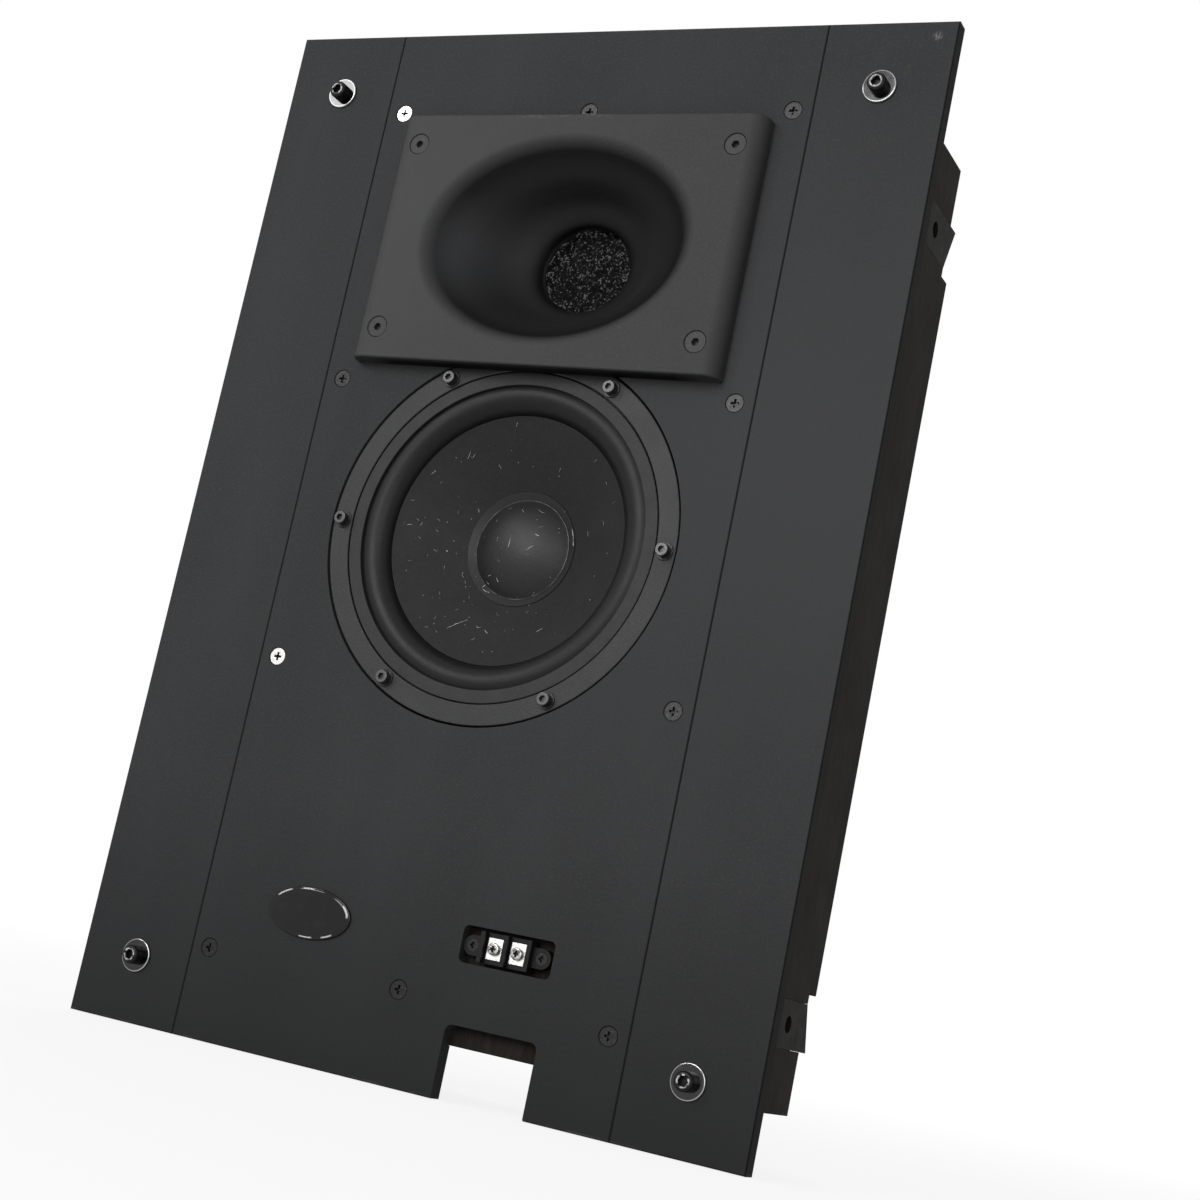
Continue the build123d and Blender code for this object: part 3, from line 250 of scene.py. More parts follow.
# Baffle screws: cross-head screws countersunk along the centre baffle's edges.
# Most are blacked, with the slots worn a little; two are bright ones from another box.
screw_black = new_finish("screw_black", (0.0080, 0.0080, 0.0083), 0.28, specular=0.26)
tint(screw_black, spread(screw_black, spots(screw_black, 900, 3), 0.56, 0.72), (0.040, 0.040, 0.040))
gloss(screw_black, spots(screw_black, 1100), 0.18, 0.40)
grain(screw_black, spots(screw_black, 2600, 1), 0.00005)
dress(screw_black, "baffle_screws_black", "cover_screws")

screw_bright = new_finish("screw_bright", (0.72, 0.71, 0.69), 0.24, metallic=1.0)
tint(screw_bright, spread(screw_bright, spots(screw_bright, 900, 3), 0.50, 0.72), (0.44, 0.43, 0.42))
# Painted shade: the cross slots are painted dark down in the recess.
painted_shade_cross_slots = spread(screw_bright, coordinate(screw_bright, "Y"), -0.0084, -0.0080)
tint(screw_bright, painted_shade_cross_slots, (0.012, 0.012, 0.012))
gloss(screw_bright, spots(screw_bright, 1300), 0.16, 0.40)
grain(screw_bright, spots(screw_bright, 2600, 1), 0.00005)
dress(screw_bright, "baffle_screws_bright")


# Stud clips: pressed steel plates let into the cabinet's sides, each screwed on, with a hole and a rear
# tooth for the stud. Painted black in the flat; the paint is worn grey in small flecks.
clip_paint = new_finish("clip_paint", (0.0100, 0.0090, 0.0082), 0.5, specular=0.03)
tint(clip_paint, spread(clip_paint, spots(clip_paint, 90, 4), 0.50, 0.70), (0.0140, 0.0126, 0.0114))
tint(clip_paint, spread(clip_paint, spots(clip_paint, 700, 2), 0.66, 0.78), (0.035, 0.033, 0.031))
gloss(clip_paint, spots(clip_paint, 160), 0.42, 0.62)
grain(clip_paint, spots(clip_paint, 1300, 2), 0.00012)
dress(clip_paint, "clip_upper_left", "clip_upper_right", "clip_lower_left", "clip_lower_right")
dress(clip_paint, "clip_screws")


# Access cover: a black board screwed over the opening in the back, to reach the crossover.
# Sprayed matt black, with a coarse dry spray texture.
cover_paint = new_finish("cover_paint", (0.0160, 0.0150, 0.0142), 0.68, specular=0.03)
tint(cover_paint, spread(cover_paint, spots(cover_paint, 12, 4), 0.46, 0.68), (0.0195, 0.0185, 0.0175))
tint(cover_paint, spread(cover_paint, spots(cover_paint, 1000, 2), 0.58, 0.74), (0.032, 0.031, 0.029))
gloss(cover_paint, spots(cover_paint, 40), 0.58, 0.78)
grain(cover_paint, spots(cover_paint, 900, 3), 0.00022)
dress(cover_paint, "access_cover")


# Woofer basket: a cast alloy frame with a flat flange, on a thin gasket, held by six cap screws on washers.
# The flange is powder-coated black with a fine even texture; the gasket is soft black rubber.
basket_paint = new_finish("basket_paint", (0.0095, 0.0097, 0.0100), 0.5, specular=0.33)
tint(basket_paint, spread(basket_paint, spots(basket_paint, 1300, 2), 0.52, 0.70), (0.022, 0.0225, 0.023))
tint(basket_paint, spread(basket_paint, spots(basket_paint, 20, 3), 0.50, 0.72), (0.0130, 0.0134, 0.0138))
gloss(basket_paint, spots(basket_paint, 60), 0.44, 0.58)
grain(basket_paint, spots(basket_paint, 1700, 2), 0.00016)
dress(basket_paint, "woofer_frame")

gasket_rubber = new_finish("gasket_rubber", (0.012, 0.012, 0.0125), 0.62, specular=0.3)
tint(gasket_rubber, spread(gasket_rubber, spots(gasket_rubber, 400, 3), 0.52, 0.72), (0.026, 0.026, 0.026))
gloss(gasket_rubber, spots(gasket_rubber, 120), 0.50, 0.74)
grain(gasket_rubber, spots(gasket_rubber, 1500, 2), 0.00010)
dress(gasket_rubber, "woofer_gasket")

cap_screw_black = new_finish("cap_screw_black", (0.012, 0.012, 0.0125), 0.26, specular=0.5)
tint(cap_screw_black, spread(cap_screw_black, spots(cap_screw_black, 900, 3), 0.50, 0.72), (0.03, 0.03, 0.03))
# Painted highlight: the screw heads' top faces are painted lighter.
painted_highlight_screw_tops = spread(cap_screw_black, coordinate(cap_screw_black, "Y"), -0.0130, -0.0133)
tint(cap_screw_black, painted_highlight_screw_tops, (0.055, 0.055, 0.055))
gloss(cap_screw_black, spots(cap_screw_black, 1200), 0.20, 0.36)
grain(cap_screw_black, spots(cap_screw_black, 2600, 1), 0.00005)
dress(cap_screw_black, "woofer_screws")
dress(screw_black, "woofer_washers")


# Trim ring: a ring of black fibre gasket glued over the surround's landing.
# Its surface is matt, with pressed fibres showing.
trim_fibre = new_finish("trim_fibre", (0.0100, 0.0102, 0.0105), 0.56, specular=0.30)
tint(trim_fibre, spread(trim_fibre, spots(trim_fibre, 500, 4), 0.50, 0.72), (0.0155, 0.0158, 0.0162))
gloss(trim_fibre, spots(trim_fibre, 140), 0.50, 0.64)
grain(trim_fibre, spots(trim_fibre, 1100, 4), 0.00012)
dress(trim_fibre, "woofer_trim_ring")


# Woofer motor: ferrite ring magnet between a plated top plate and yoke, with the wire's tag on the basket.
# The ferrite is dull dark grey with specks, the plates are zinc-plated steel.
ferrite = new_finish("ferrite", (0.040, 0.040, 0.042), 0.58, specular=0.4)
tint(ferrite, spread(ferrite, spots(ferrite, 500, 4), 0.55, 0.72), (0.085, 0.085, 0.088))
gloss(ferrite, spots(ferrite, 90), 0.48, 0.70)
grain(ferrite, spots(ferrite, 900, 3), 0.00012)
dress(ferrite, "woofer_magnet", "driver_magnet")

plated_steel = new_finish("plated_steel", (0.50, 0.49, 0.47), 0.36, metallic=1.0)
tint(plated_steel, spread(plated_steel, spots(plated_steel, 120, 4), 0.46, 0.70), (0.36, 0.35, 0.33))
gloss(plated_steel, spots(plated_steel, 300), 0.28, 0.50)
grain(plated_steel, spots(plated_steel, 1800, 1), 0.00006)
dress(plated_steel, "woofer_top_plate", "woofer_yoke", "driver_throat_plate", "driver_yoke", "driver_screws")

tag_board = new_finish("tag_board", (0.10, 0.055, 0.022), 0.55, specular=0.4)
tint(tag_board, spread(tag_board, spots(tag_board, 400, 3), 0.48, 0.70), (0.16, 0.09, 0.04))
gloss(tag_board, spots(tag_board, 200), 0.44, 0.64)
grain(tag_board, spots(tag_board, 1200, 2), 0.00008)
dress(tag_board, "woofer_tag")


# Spider, former and winding: the corrugated cloth that centres the coil, its thin tube, and the wire on it.
# The cloth is a yellow-brown weave stiffened with resin, the former is card, the wire is bare copper.
spider_cloth = new_finish("spider_cloth", (0.35, 0.22, 0.08), 0.75, specular=0.25)
tint(spider_cloth, spread(spider_cloth, spots(spider_cloth, 1400, 2), 0.46, 0.62), (0.22, 0.13, 0.045))
gloss(spider_cloth, spots(spider_cloth, 200), 0.62, 0.86)
grain(spider_cloth, spots(spider_cloth, 1600, 2), 0.00022)
dress(spider_cloth, "woofer_spider")

former_card = new_finish("former_card", (0.30, 0.22, 0.12), 0.6, specular=0.3)
tint(former_card, spread(former_card, spots(former_card, 500, 3), 0.46, 0.70), (0.22, 0.15, 0.08))
gloss(former_card, spots(former_card, 200), 0.5, 0.7)
grain(former_card, spots(former_card, 1500, 2), 0.00006)
dress(former_card, "coil_former")

copper = new_finish("copper_wire", (0.70, 0.30, 0.15), 0.3, metallic=1.0)
turns = spread(copper, coordinate(copper, "Y"), 0.0, 0.0004)
wraps = add(copper, "ShaderNodeMath", {0: turns}, operation="PINGPONG").outputs[0]
tint(copper, spread(copper, spots(copper, 400, 2), 0.46, 0.70), (0.50, 0.19, 0.09))
gloss(copper, spots(copper, 300), 0.22, 0.40)
grain(copper, wraps, 0.00015)
dress(copper, "coil_winding", "crossover_coil")


# Cone: pressed paper pulp, dyed black, glued to the surround's lip and to the coil's former.
# The pulp's fibres show as a fine mottle, and it has greyed a little with dust in soft patches.
cone_paper = new_finish("cone_paper", (0.0090, 0.0090, 0.0093), 0.62, specular=0.24)
tint(cone_paper, spread(cone_paper, spots(cone_paper, 500, 5), 0.48, 0.74), (0.0135, 0.0135, 0.0138))
tint(cone_paper, spread(cone_paper, spots(cone_paper, 40, 4), 0.52, 0.74), (0.0125, 0.0125, 0.0128))
gloss(cone_paper, spots(cone_paper, 160), 0.56, 0.72)
grain(cone_paper, spots(cone_paper, 800, 5), 0.00014)
dress(cone_paper, "woofer_cone")


# Surround: a moulded rubber roll from its landing on the basket to a lip glued on the cone's edge.
# The rubber is satin black, greyed by dust.
def arc(first, middle, last, count):
    """Points on the circle through three points, from first to last."""
    (ax, ay), (bx, by), (cx, cy) = first, middle, last
    turn = 2 * (ax * (by - cy) + bx * (cy - ay) + cx * (ay - by))
    squares = (ax * ax + ay * ay, bx * bx + by * by, cx * cx + cy * cy)
    centre_x = (squares[0] * (by - cy) + squares[1] * (cy - ay) + squares[2] * (ay - by)) / turn
    centre_y = (squares[0] * (cx - bx) + squares[1] * (ax - cx) + squares[2] * (bx - ax)) / turn
    radius = math.dist(first, (centre_x, centre_y))
    start = math.atan2(ay - centre_y, ax - centre_x)
    swept = math.atan2(cy - centre_y, cx - centre_x) - start
    passed = math.atan2(by - centre_y, bx - centre_x) - start
    if passed % math.tau > swept % math.tau:
        swept = swept % math.tau - math.tau
    else:
        swept = swept % math.tau
    return [
        (
            centre_x + radius * math.cos(start + swept * step / count),
            centre_y + radius * math.sin(start + swept * step / count),
        )
        for step in range(count + 1)
    ]


def turned(name, section, steps):
    """A ring turned about the woofer's axis from a closed line of (radius, y), drawn in millimetres."""
    bpy.ops.object.select_all(action="DESELECT")
    bpy.ops.mesh.primitive_plane_add(size=0.001)
    bpy.ops.object.mode_set(mode="EDIT")
    bpy.ops.mesh.merge(type="CENTER")
    bpy.ops.transform.translate(value=(section[0][0] / 1000, section[0][1] / 1000, 0))
    for (radius, y), (next_radius, next_y) in zip(section, section[1:] + section[:1]):
        step = ((next_radius - radius) / 1000, (next_y - y) / 1000, 0)
        bpy.ops.mesh.extrude_vertices_move(TRANSFORM_OT_translate={"value": step})
    bpy.ops.mesh.select_all(action="SELECT")
    bpy.ops.mesh.remove_doubles(threshold=0.000002)
    bpy.ops.mesh.spin(steps=steps, angle=math.tau, center=(0, 0, 0), axis=(0, 1, 0))
    bpy.ops.mesh.select_all(action="SELECT")
    bpy.ops.mesh.remove_doubles(threshold=0.000002)
    bpy.ops.mesh.normals_make_consistent(inside=False)
    bpy.ops.object.mode_set(mode="OBJECT")
    bpy.ops.object.shade_smooth_by_angle(angle=math.radians(40))
    piece = bpy.context.object
    piece.name = piece.data.name = name
    return piece


roll_outside = arc((69.2, 0.5), (76.25, -6.7), (83.5, -6.2), 28)
roll_inside = arc((82.3, -5.0), (76.25, -5.5), (70.4, 2.0), 22)
landing = [(90.9, -6.2), (91.0, -6.1), (91.0, -5.0)]
lip = [(69.7, 3.0), (69.0, 3.3), (65.7, 4.9), (65.5, 4.5), (65.5, 3.9), (69.2, 2.0)]
surround = turned("surround_roll", roll_outside + landing + roll_inside + lip, 160)
surround_rubber = new_finish("surround_rubber", (0.0065, 0.0065, 0.0068), 0.40, specular=0.17)
dusted = spread(surround_rubber, spots(surround_rubber, 700, 4), 0.52, 0.76)
tint(surround_rubber, dusted, (0.0125, 0.0125, 0.0130))
gloss(surround_rubber, spots(surround_rubber, 90), 0.34, 0.46)
grain(surround_rubber, spots(surround_rubber, 1400, 3), 0.00006)
surround.data.materials.append(surround_rubber)
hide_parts("woofer_surround")
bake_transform(surround)


# Dust cap: a pressed paper dome with a flange, glued on the cone over the coil.
# It is smoother than the cone, with a soft shine, and a thin line of glue shows round the dome's foot.
cap_paper = new_finish("cap_paper", (0.0085, 0.0085, 0.0088), 0.46, specular=0.32)
tint(cap_paper, spread(cap_paper, spots(cap_paper, 600, 4), 0.50, 0.74), (0.0125, 0.0125, 0.0128))
gloss(cap_paper, spots(cap_paper, 140), 0.40, 0.54)
grain(cap_paper, spots(cap_paper, 900, 4), 0.00010)
dress(cap_paper, "dust_cap")

cone_radius, cone_rim_y, cone_slope = 69.0, 0.5, 0.51613
cap_radius, cap_rise, cap_flange_radius = 27.6, 9.0, 32.0
seam_lift, flange_lift = 0.9, 0.45
seam_y = cone_rim_y + (cone_radius - cap_radius) * cone_slope - seam_lift
glue_bead = turned(
    "cap_glue",
    arc((28.00, seam_y + 0.35), (27.80, seam_y + 0.02), (27.52, seam_y - 0.06), 6) + [(27.55, seam_y + 0.30)],
    120,
)
glue = new_finish("cap_glue", (0.022, 0.022, 0.022), 0.34, specular=0.4)
tint(glue, spread(glue, spots(glue, 160, 3), 0.46, 0.66), (0.095, 0.095, 0.092))
gloss(glue, spots(glue, 300), 0.22, 0.44)
grain(glue, spots(glue, 500, 2), 0.00010)
glue_bead.data.materials.append(glue)
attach(glue_bead, "cone")


# Lint: white fibres and specks of dust that have settled on the cone and its cap, most of them on the left.
# Each is a thin bent thread or a small flattened crumb, lying on the paper that carries it.
def thread(name, bend):
    """A thread 1 mm long along X, four-sided, bent to one side and thinner at its ends."""
    bpy.ops.object.select_all(action="DESELECT")
    bpy.ops.mesh.primitive_cylinder_add(
        vertices=4, radius=0.00013, depth=0.001, end_fill_type="TRIFAN", rotation=(0, math.pi / 2, 0)
    )
    bpy.ops.object.transform_apply(rotation=True)
    bpy.ops.object.mode_set(mode="EDIT")
    for plane_x in (-0.0003, -0.0001, 0.0001, 0.0003):
        bpy.ops.mesh.select_all(action="SELECT")
        bpy.ops.mesh.bisect(plane_co=(plane_x, 0, 0), plane_no=(1, 0, 0))
    bpy.ops.object.mode_set(mode="OBJECT")
    made = bpy.context.object
    made.name = name
    for vertex in made.data.vertices:
        share = vertex.co.x / 0.0005
        thinner = 1.0 - 0.5 * share * share
        vertex.co.y *= thinner
        vertex.co.z = vertex.co.z * thinner + bend * share * share * 0.0005
    return made


def crumb(name):
    """A flattened speck about 1 mm wide."""
    bpy.ops.object.select_all(action="DESELECT")
    bpy.ops.mesh.primitive_ico_sphere_add(subdivisions=1, radius=0.0005)
    bpy.ops.object.mode_set(mode="EDIT")
    bpy.ops.mesh.select_all(action="SELECT")
    bpy.ops.transform.vertex_random(offset=0.00012, seed=4)
    bpy.ops.transform.resize(value=(1, 0.35, 0.8))
    bpy.ops.object.mode_set(mode="OBJECT")
    made = bpy.context.object
    made.name = name
    return made


def on_woofer(radius, angle):
    """The point and the outward direction of the woofer's paper there, on the cap or the cone, in metres."""
    cap_sphere = (cap_radius**2 + cap_rise**2) / (2 * cap_rise)
    if radius < 27.0:
        out = math.sqrt(cap_sphere**2 - radius**2)
        y = seam_y - cap_rise + cap_sphere - out
        lean = radius / cap_sphere
        facing = Vector((lean * math.cos(angle), -out / cap_sphere, lean * math.sin(angle)))
    else:
        rim = flange_lift if radius < cap_flange_radius else 0.0
        y = cone_rim_y + (cone_radius - radius) * cone_slope - rim
        steep = math.hypot(1.0, cone_slope)
        lean = cone_slope / steep
        facing = Vector((-lean * math.cos(angle), -1 / steep, -lean * math.sin(angle)))
    return Vector((radius * math.cos(angle), y, radius * math.sin(angle))) / 1000, facing


def lay(model, radius, angle, turn, length, width):
    """A copy of a thread or a crumb, laid on the woofer's paper; turn is from X towards Z, in degrees."""
    foot, facing = on_woofer(radius, math.radians(angle))
    aim = (-facing).to_track_quat("Y", "Z").to_matrix().to_4x4()
    turned_by = Matrix.Rotation(-math.radians(turn), 4, "Y")
    piece = model.copy()
    piece.data = model.data.copy()
    bpy.context.collection.objects.link(piece)
    lift = Matrix.Translation(foot + facing * 0.00012 * width)
    piece.matrix_world = lift @ aim @ turned_by @ Matrix.Diagonal((length, width, width, 1))
    return piece


straight = thread("thread_straight", 0.1)
bent = thread("thread_bent", 0.35)
hooked = thread("thread_hooked", 0.8)
speck = crumb("speck")
lint_pieces = [
    lay(bent, 58.5, 128, 75, 4.5, 1.0),
    lay(straight, 57.0, 126, 60, 2.5, 1.0),
    lay(straight, 64.0, 148, 50, 3.5, 0.8),
    lay(straight, 50.5, 245, 35, 8.0, 0.9),
    lay(straight, 54.5, 243, 40, 6.0, 0.8),
    lay(bent, 49.4, 264, -40, 3.2, 1.1),
    lay(straight, 52.4, 301, 40, 3.6, 1.1),
    lay(hooked, 20.9, 246, -60, 2.6, 1.0),
    lay(hooked, 30.0, 237, -20, 4.0, 1.0),
    lay(bent, 28.6, 231, 60, 2.6, 1.2),
    lay(bent, 4.0, 150, 90, 7.0, 1.1),
    lay(straight, 13.2, 33, -20, 2.6, 1.3),
    lay(straight, 9.5, 1, 40, 3.0, 1.2),
    lay(straight, 31.2, 13, 101, 5.0, 1.3),
    lay(straight, 31.3, 22, 110, 4.6, 1.3),
    lay(hooked, 22.7, 68, -25, 4.4, 1.1),
    lay(speck, 42.3, 189, 0, 0.9, 0.9),
    lay(speck, 60.7, 334, 0, 1.1, 1.0),
]
chance = random.Random(23)
for number in range(130):
    model = speck if number % 5 < 3 else (straight, bent, hooked)[number % 3]
    if number % 4 == 0:
        radius = chance.uniform(6.0, 33.0)
        angle = chance.gauss(250, 80)
    else:
        radius = chance.uniform(33.0, 66.0)
        angle = chance.gauss(200, 75)
    turn = chance.uniform(0, 180)
    if model is speck:
        size = chance.uniform(0.20, 0.55)
        lint_pieces.append(lay(model, radius, angle, turn, size, size))
    else:
        length = chance.uniform(1.2, 3.2)
        lint_pieces.append(lay(model, radius, angle, turn, length, chance.uniform(0.4, 0.7)))
bpy.ops.object.select_all(action="DESELECT")
for piece in lint_pieces:
    piece.select_set(True)
lint = lint_pieces[0]
bpy.context.view_layer.objects.active = lint
bpy.ops.object.join()
bpy.ops.object.transform_apply(location=True, rotation=True, scale=True)
lint.name = lint.data.name = "cone_lint"
for model in (straight, bent, hooked, speck):
    bpy.data.objects.remove(model)
lint_white = new_finish("lint_white", (0.62, 0.62, 0.61), 0.9, specular=0.1)
tint(lint_white, spread(lint_white, spots(lint_white, 160, 2), 0.46, 0.62), (0.24, 0.24, 0.24))
gloss(lint_white, spots(lint_white, 500), 0.8, 1.0)
lint.data.materials.append(lint_white)
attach(lint, "cone")


# Waveguide: one moulded plate with the horn's mouth in it, screwed to the baffle over the throat's hole.
# Satin black plastic with a fine moulded texture, scuffed pale along its upper edge; the horn's inside is
# painted darker than the plate's face as painted shade, and parts of it lighter again as painted light.
horn_plastic = new_finish("horn_plastic", (0.0046, 0.0047, 0.0049), 0.5, specular=0.12)
depth = coordinate(horn_plastic, "Y")
# Painted light: a band part way down the horn is painted lighter.
painted_light_midway = both(
    horn_plastic,
    spread(horn_plastic, depth, -0.0120, 0.0040),
    spread(horn_plastic, depth, 0.0230, 0.0120),
)
# Painted light: a glow is painted lighter on the horn's left wall.
painted_glow_left_wall = both(
    horn_plastic,
    spread(horn_plastic, coordinate(horn_plastic, "X"), -0.030, -0.066),
    near(horn_plastic, (-0.052, -0.002, 0.158), 0.010, 0.036, (0.7, 0.7, 1.0)),
)
plate_face = spread(horn_plastic, depth, -0.0150, -0.0206)
plate_sides = spread(horn_plastic, coordinate(horn_plastic, "X", mirrored=True), 0.086, 0.100)
# Painted light: the left half of the plate's face is painted lighter.
painted_light_left_half = spread(horn_plastic, coordinate(horn_plastic, "X"), 0.050, -0.110)
tint(horn_plastic, painted_light_midway, (0.0150, 0.0151, 0.0157))
tint(horn_plastic, painted_glow_left_wall, (0.0225, 0.0231, 0.0247))
# Painted light: the throat's wall is painted lighter where it lies in shade.
tint(horn_plastic, spread(horn_plastic, depth, 0.0255, 0.0268), (0.0300, 0.0300, 0.0305))
# Painted shade: the plate's face and sides get a lighter tone, so the horn's inside stays painted darker.
tint(horn_plastic, plate_face, (0.0310, 0.0312, 0.0317))
tint(horn_plastic, plate_sides, (0.0310, 0.0312, 0.0317))
tint(horn_plastic, both(horn_plastic, plate_face, painted_light_left_half), (0.0420, 0.0423, 0.0429))
moulded = both(horn_plastic, plate_face, spread(horn_plastic, spots(horn_plastic, 1400, 2), 0.56, 0.76))
tint(horn_plastic, moulded, (0.0480, 0.0484, 0.0490))
top_edge = both(
    horn_plastic,
    spread(horn_plastic, coordinate(horn_plastic, "Z"), 0.2315, 0.2340),
    spread(horn_plastic, depth, -0.0180, -0.0205),
)
scuffs = both(
    horn_plastic,
    both(horn_plastic, top_edge, near(horn_plastic, (-0.008, -0.021, 0.2345), 0.020, 0.036)),
    spread(horn_plastic, spots(horn_plastic, 700, 3, (0.5, 1, 2)), 0.50, 0.62),
)
tint(horn_plastic, scuffs, (0.068, 0.068, 0.067))
gloss(horn_plastic, spots(horn_plastic, 30), 0.44, 0.56)
grain(horn_plastic, spots(horn_plastic, 1500, 2), 0.00014)
dress(horn_plastic, "waveguide")

flat_screw_black = new_finish("flat_screw_black", (0.0330, 0.0332, 0.0338), 0.42, specular=0.15)
flat_worn = spread(flat_screw_black, spots(flat_screw_black, 800, 3), 0.52, 0.74)
tint(flat_screw_black, flat_worn, (0.046, 0.046, 0.046))
gloss(flat_screw_black, spots(flat_screw_black, 1000), 0.34, 0.50)
grain(flat_screw_black, spots(flat_screw_black, 2400, 1), 0.00005)
dress(flat_screw_black, "waveguide_screws")


# Foam plug: a disc of open-cell foam let into the throat, to keep dust from the driver.
# Its cells are an open net of thin struts, black, with bright specks painted on the nearest struts as painted
# highlights.
throat_z, foam_radius = 0.1625, 0.0253


def cell_net(name, y, seed):
    """One layer of struts, as wide as the throat."""
    bpy.ops.object.select_all(action="DESELECT")
    bpy.ops.mesh.primitive_grid_add(
        x_subdivisions=32,
        y_subdivisions=32,
        size=0.054,
        location=(0, y, throat_z),
        rotation=(math.pi / 2, 0, 0),
    )
    bpy.ops.object.transform_apply(location=True, rotation=True)
    net = bpy.context.object
    net.name = name
    bpy.ops.object.mode_set(mode="EDIT")
    bpy.ops.mesh.select_mode(type="FACE")
    bpy.ops.mesh.select_all(action="DESELECT")
    bpy.ops.object.mode_set(mode="OBJECT")
    for face in net.data.polygons:
        face.select = math.hypot(face.center.x, face.center.z - throat_z) > foam_radius + 0.0001
    bpy.ops.object.mode_set(mode="EDIT")
    bpy.ops.mesh.delete(type="FACE")
    bpy.ops.mesh.select_mode(type="VERT")
    bpy.ops.mesh.select_all(action="SELECT")
    bpy.ops.mesh.quads_convert_to_tris(quad_method="SHORTEST_DIAGONAL", ngon_method="BEAUTY")
    bpy.ops.transform.vertex_random(offset=0.0007, seed=seed)
    bpy.ops.object.mode_set(mode="OBJECT")
    for vertex in net.data.vertices:
        reach = math.hypot(vertex.co.x, vertex.co.z - throat_z)
        if reach > foam_radius:
            vertex.co.x *= foam_radius / reach
            vertex.co.z = throat_z + (vertex.co.z - throat_z) * foam_radius / reach
    bpy.ops.object.mode_set(mode="EDIT")
    bpy.ops.mesh.select_all(action="SELECT")
    bpy.ops.mesh.bevel(offset_type="PERCENT", offset_pct=34, affect="VERTICES")
    bpy.ops.object.mode_set(mode="OBJECT")
    struts = net.modifiers.new("struts", "WIREFRAME")
    struts.thickness = 0.00032
    struts.use_boundary = True
    struts.use_even_offset = False
    bpy.ops.object.modifier_apply(modifier="struts")
    return net


layers = [cell_net("foam_front", 0.0278, 3), cell_net("foam_back", 0.0296, 8)]
bpy.ops.object.select_all(action="DESELECT")
bpy.ops.mesh.primitive_circle_add(
    vertices=96, radius=0.0256, fill_type="NGON", location=(0, 0.0322, throat_z), rotation=(math.pi / 2, 0, 0)
)
bpy.ops.object.transform_apply(location=True, rotation=True)
bpy.ops.object.mode_set(mode="EDIT")
bpy.ops.mesh.select_all(action="SELECT")
bpy.ops.mesh.extrude_region_move(TRANSFORM_OT_translate={"value": (0, 0.0008, 0)})
bpy.ops.mesh.select_all(action="SELECT")
bpy.ops.mesh.normals_make_consistent(inside=False)
bpy.ops.object.mode_set(mode="OBJECT")
foam = bpy.context.object
for layer in layers:
    layer.select_set(True)
bpy.ops.object.join()
foam.name = foam.data.name = "throat_foam"
foam_black = new_finish("foam_black", (0.0030, 0.0030, 0.0032), 0.42, specular=0.16)
front_struts = spread(foam_black, coordinate(foam_black, "Y"), 0.0284, 0.0276)
# Painted highlight: bright specks on the front layer of struts.
painted_strut_glints = both(foam_black, front_struts, spread(foam_black, spots(foam_black, 850, 2), 0.57, 0.62))
tint(foam_black, painted_strut_glints, (0.30, 0.30, 0.30))
gloss(foam_black, spots(foam_black, 300), 0.32, 0.56)
foam.data.materials.append(foam_black)
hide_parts("foam_plug")
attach(foam, "cabinet")


# Compression driver: behind the horn's throat, with its own magnet, phase plug, metal diaphragm and cap.
# The cap is black moulded plastic, the plug is bare cast metal and the diaphragm is thin drawn foil.
cap_plastic = new_finish("driver_cap_plastic", (0.016, 0.016, 0.0165), 0.45, specular=0.45)
tint(cap_plastic, spread(cap_plastic, spots(cap_plastic, 900, 2), 0.52, 0.72), (0.028, 0.028, 0.028))
gloss(cap_plastic, spots(cap_plastic, 80), 0.36, 0.56)
grain(cap_plastic, spots(cap_plastic, 1400, 2), 0.00012)
dress(cap_plastic, "driver_cap")

drawn_foil = new_finish("drawn_foil", (0.70, 0.70, 0.72), 0.26, metallic=1.0)
tint(drawn_foil, spread(drawn_foil, spots(drawn_foil, 300, 3), 0.48, 0.70), (0.55, 0.55, 0.57))
gloss(drawn_foil, spots(drawn_foil, 400), 0.2, 0.38)
grain(drawn_foil, spots(drawn_foil, 1500, 1), 0.00004)
dress(drawn_foil, "driver_diaphragm", "driver_phase_plug")


# Terminal strip: a moulded barrier block in the baffle's window, with two clamp plates under screws.
# The block is dull black plastic, its plates are bright nickel and its screws a darker nickel, with painted
# shade down in the screws' recesses.
block_plastic = new_finish("block_plastic", (0.0048, 0.0048, 0.0050), 0.46, specular=0.16)
tint(block_plastic, spread(block_plastic, spots(block_plastic, 900, 3), 0.52, 0.72), (0.0085, 0.0085, 0.0085))
gloss(block_plastic, spots(block_plastic, 200), 0.40, 0.62)
grain(block_plastic, spots(block_plastic, 1500, 2), 0.00010)
dress(block_plastic, "terminal_block")

nickel = new_finish("nickel", (0.82, 0.81, 0.79), 0.22, metallic=1.0)
tint(nickel, spread(nickel, spots(nickel, 700, 4), 0.52, 0.72), (0.48, 0.47, 0.45))
gloss(nickel, spots(nickel, 900), 0.15, 0.40)
grain(nickel, spots(nickel, 2400, 1), 0.00005)
dress(nickel, "terminal_plates")

darker_nickel = new_finish("darker_nickel", (0.46, 0.45, 0.43), 0.20, metallic=1.0)
tint(darker_nickel, spread(darker_nickel, spots(darker_nickel, 700, 3), 0.46, 0.60), (0.14, 0.135, 0.13))
# Painted shade: the screws are painted dark below their heads' tops, down in the recesses.
tint(darker_nickel, spread(darker_nickel, coordinate(darker_nickel, "Y"), -0.0093, -0.0088), (0.03, 0.03, 0.03))
gloss(darker_nickel, spots(darker_nickel, 900), 0.14, 0.34)
grain(darker_nickel, spots(darker_nickel, 1600, 1), 0.00006)
dress(darker_nickel, "terminal_screws")
dress(screw_black, "terminal_fixings")
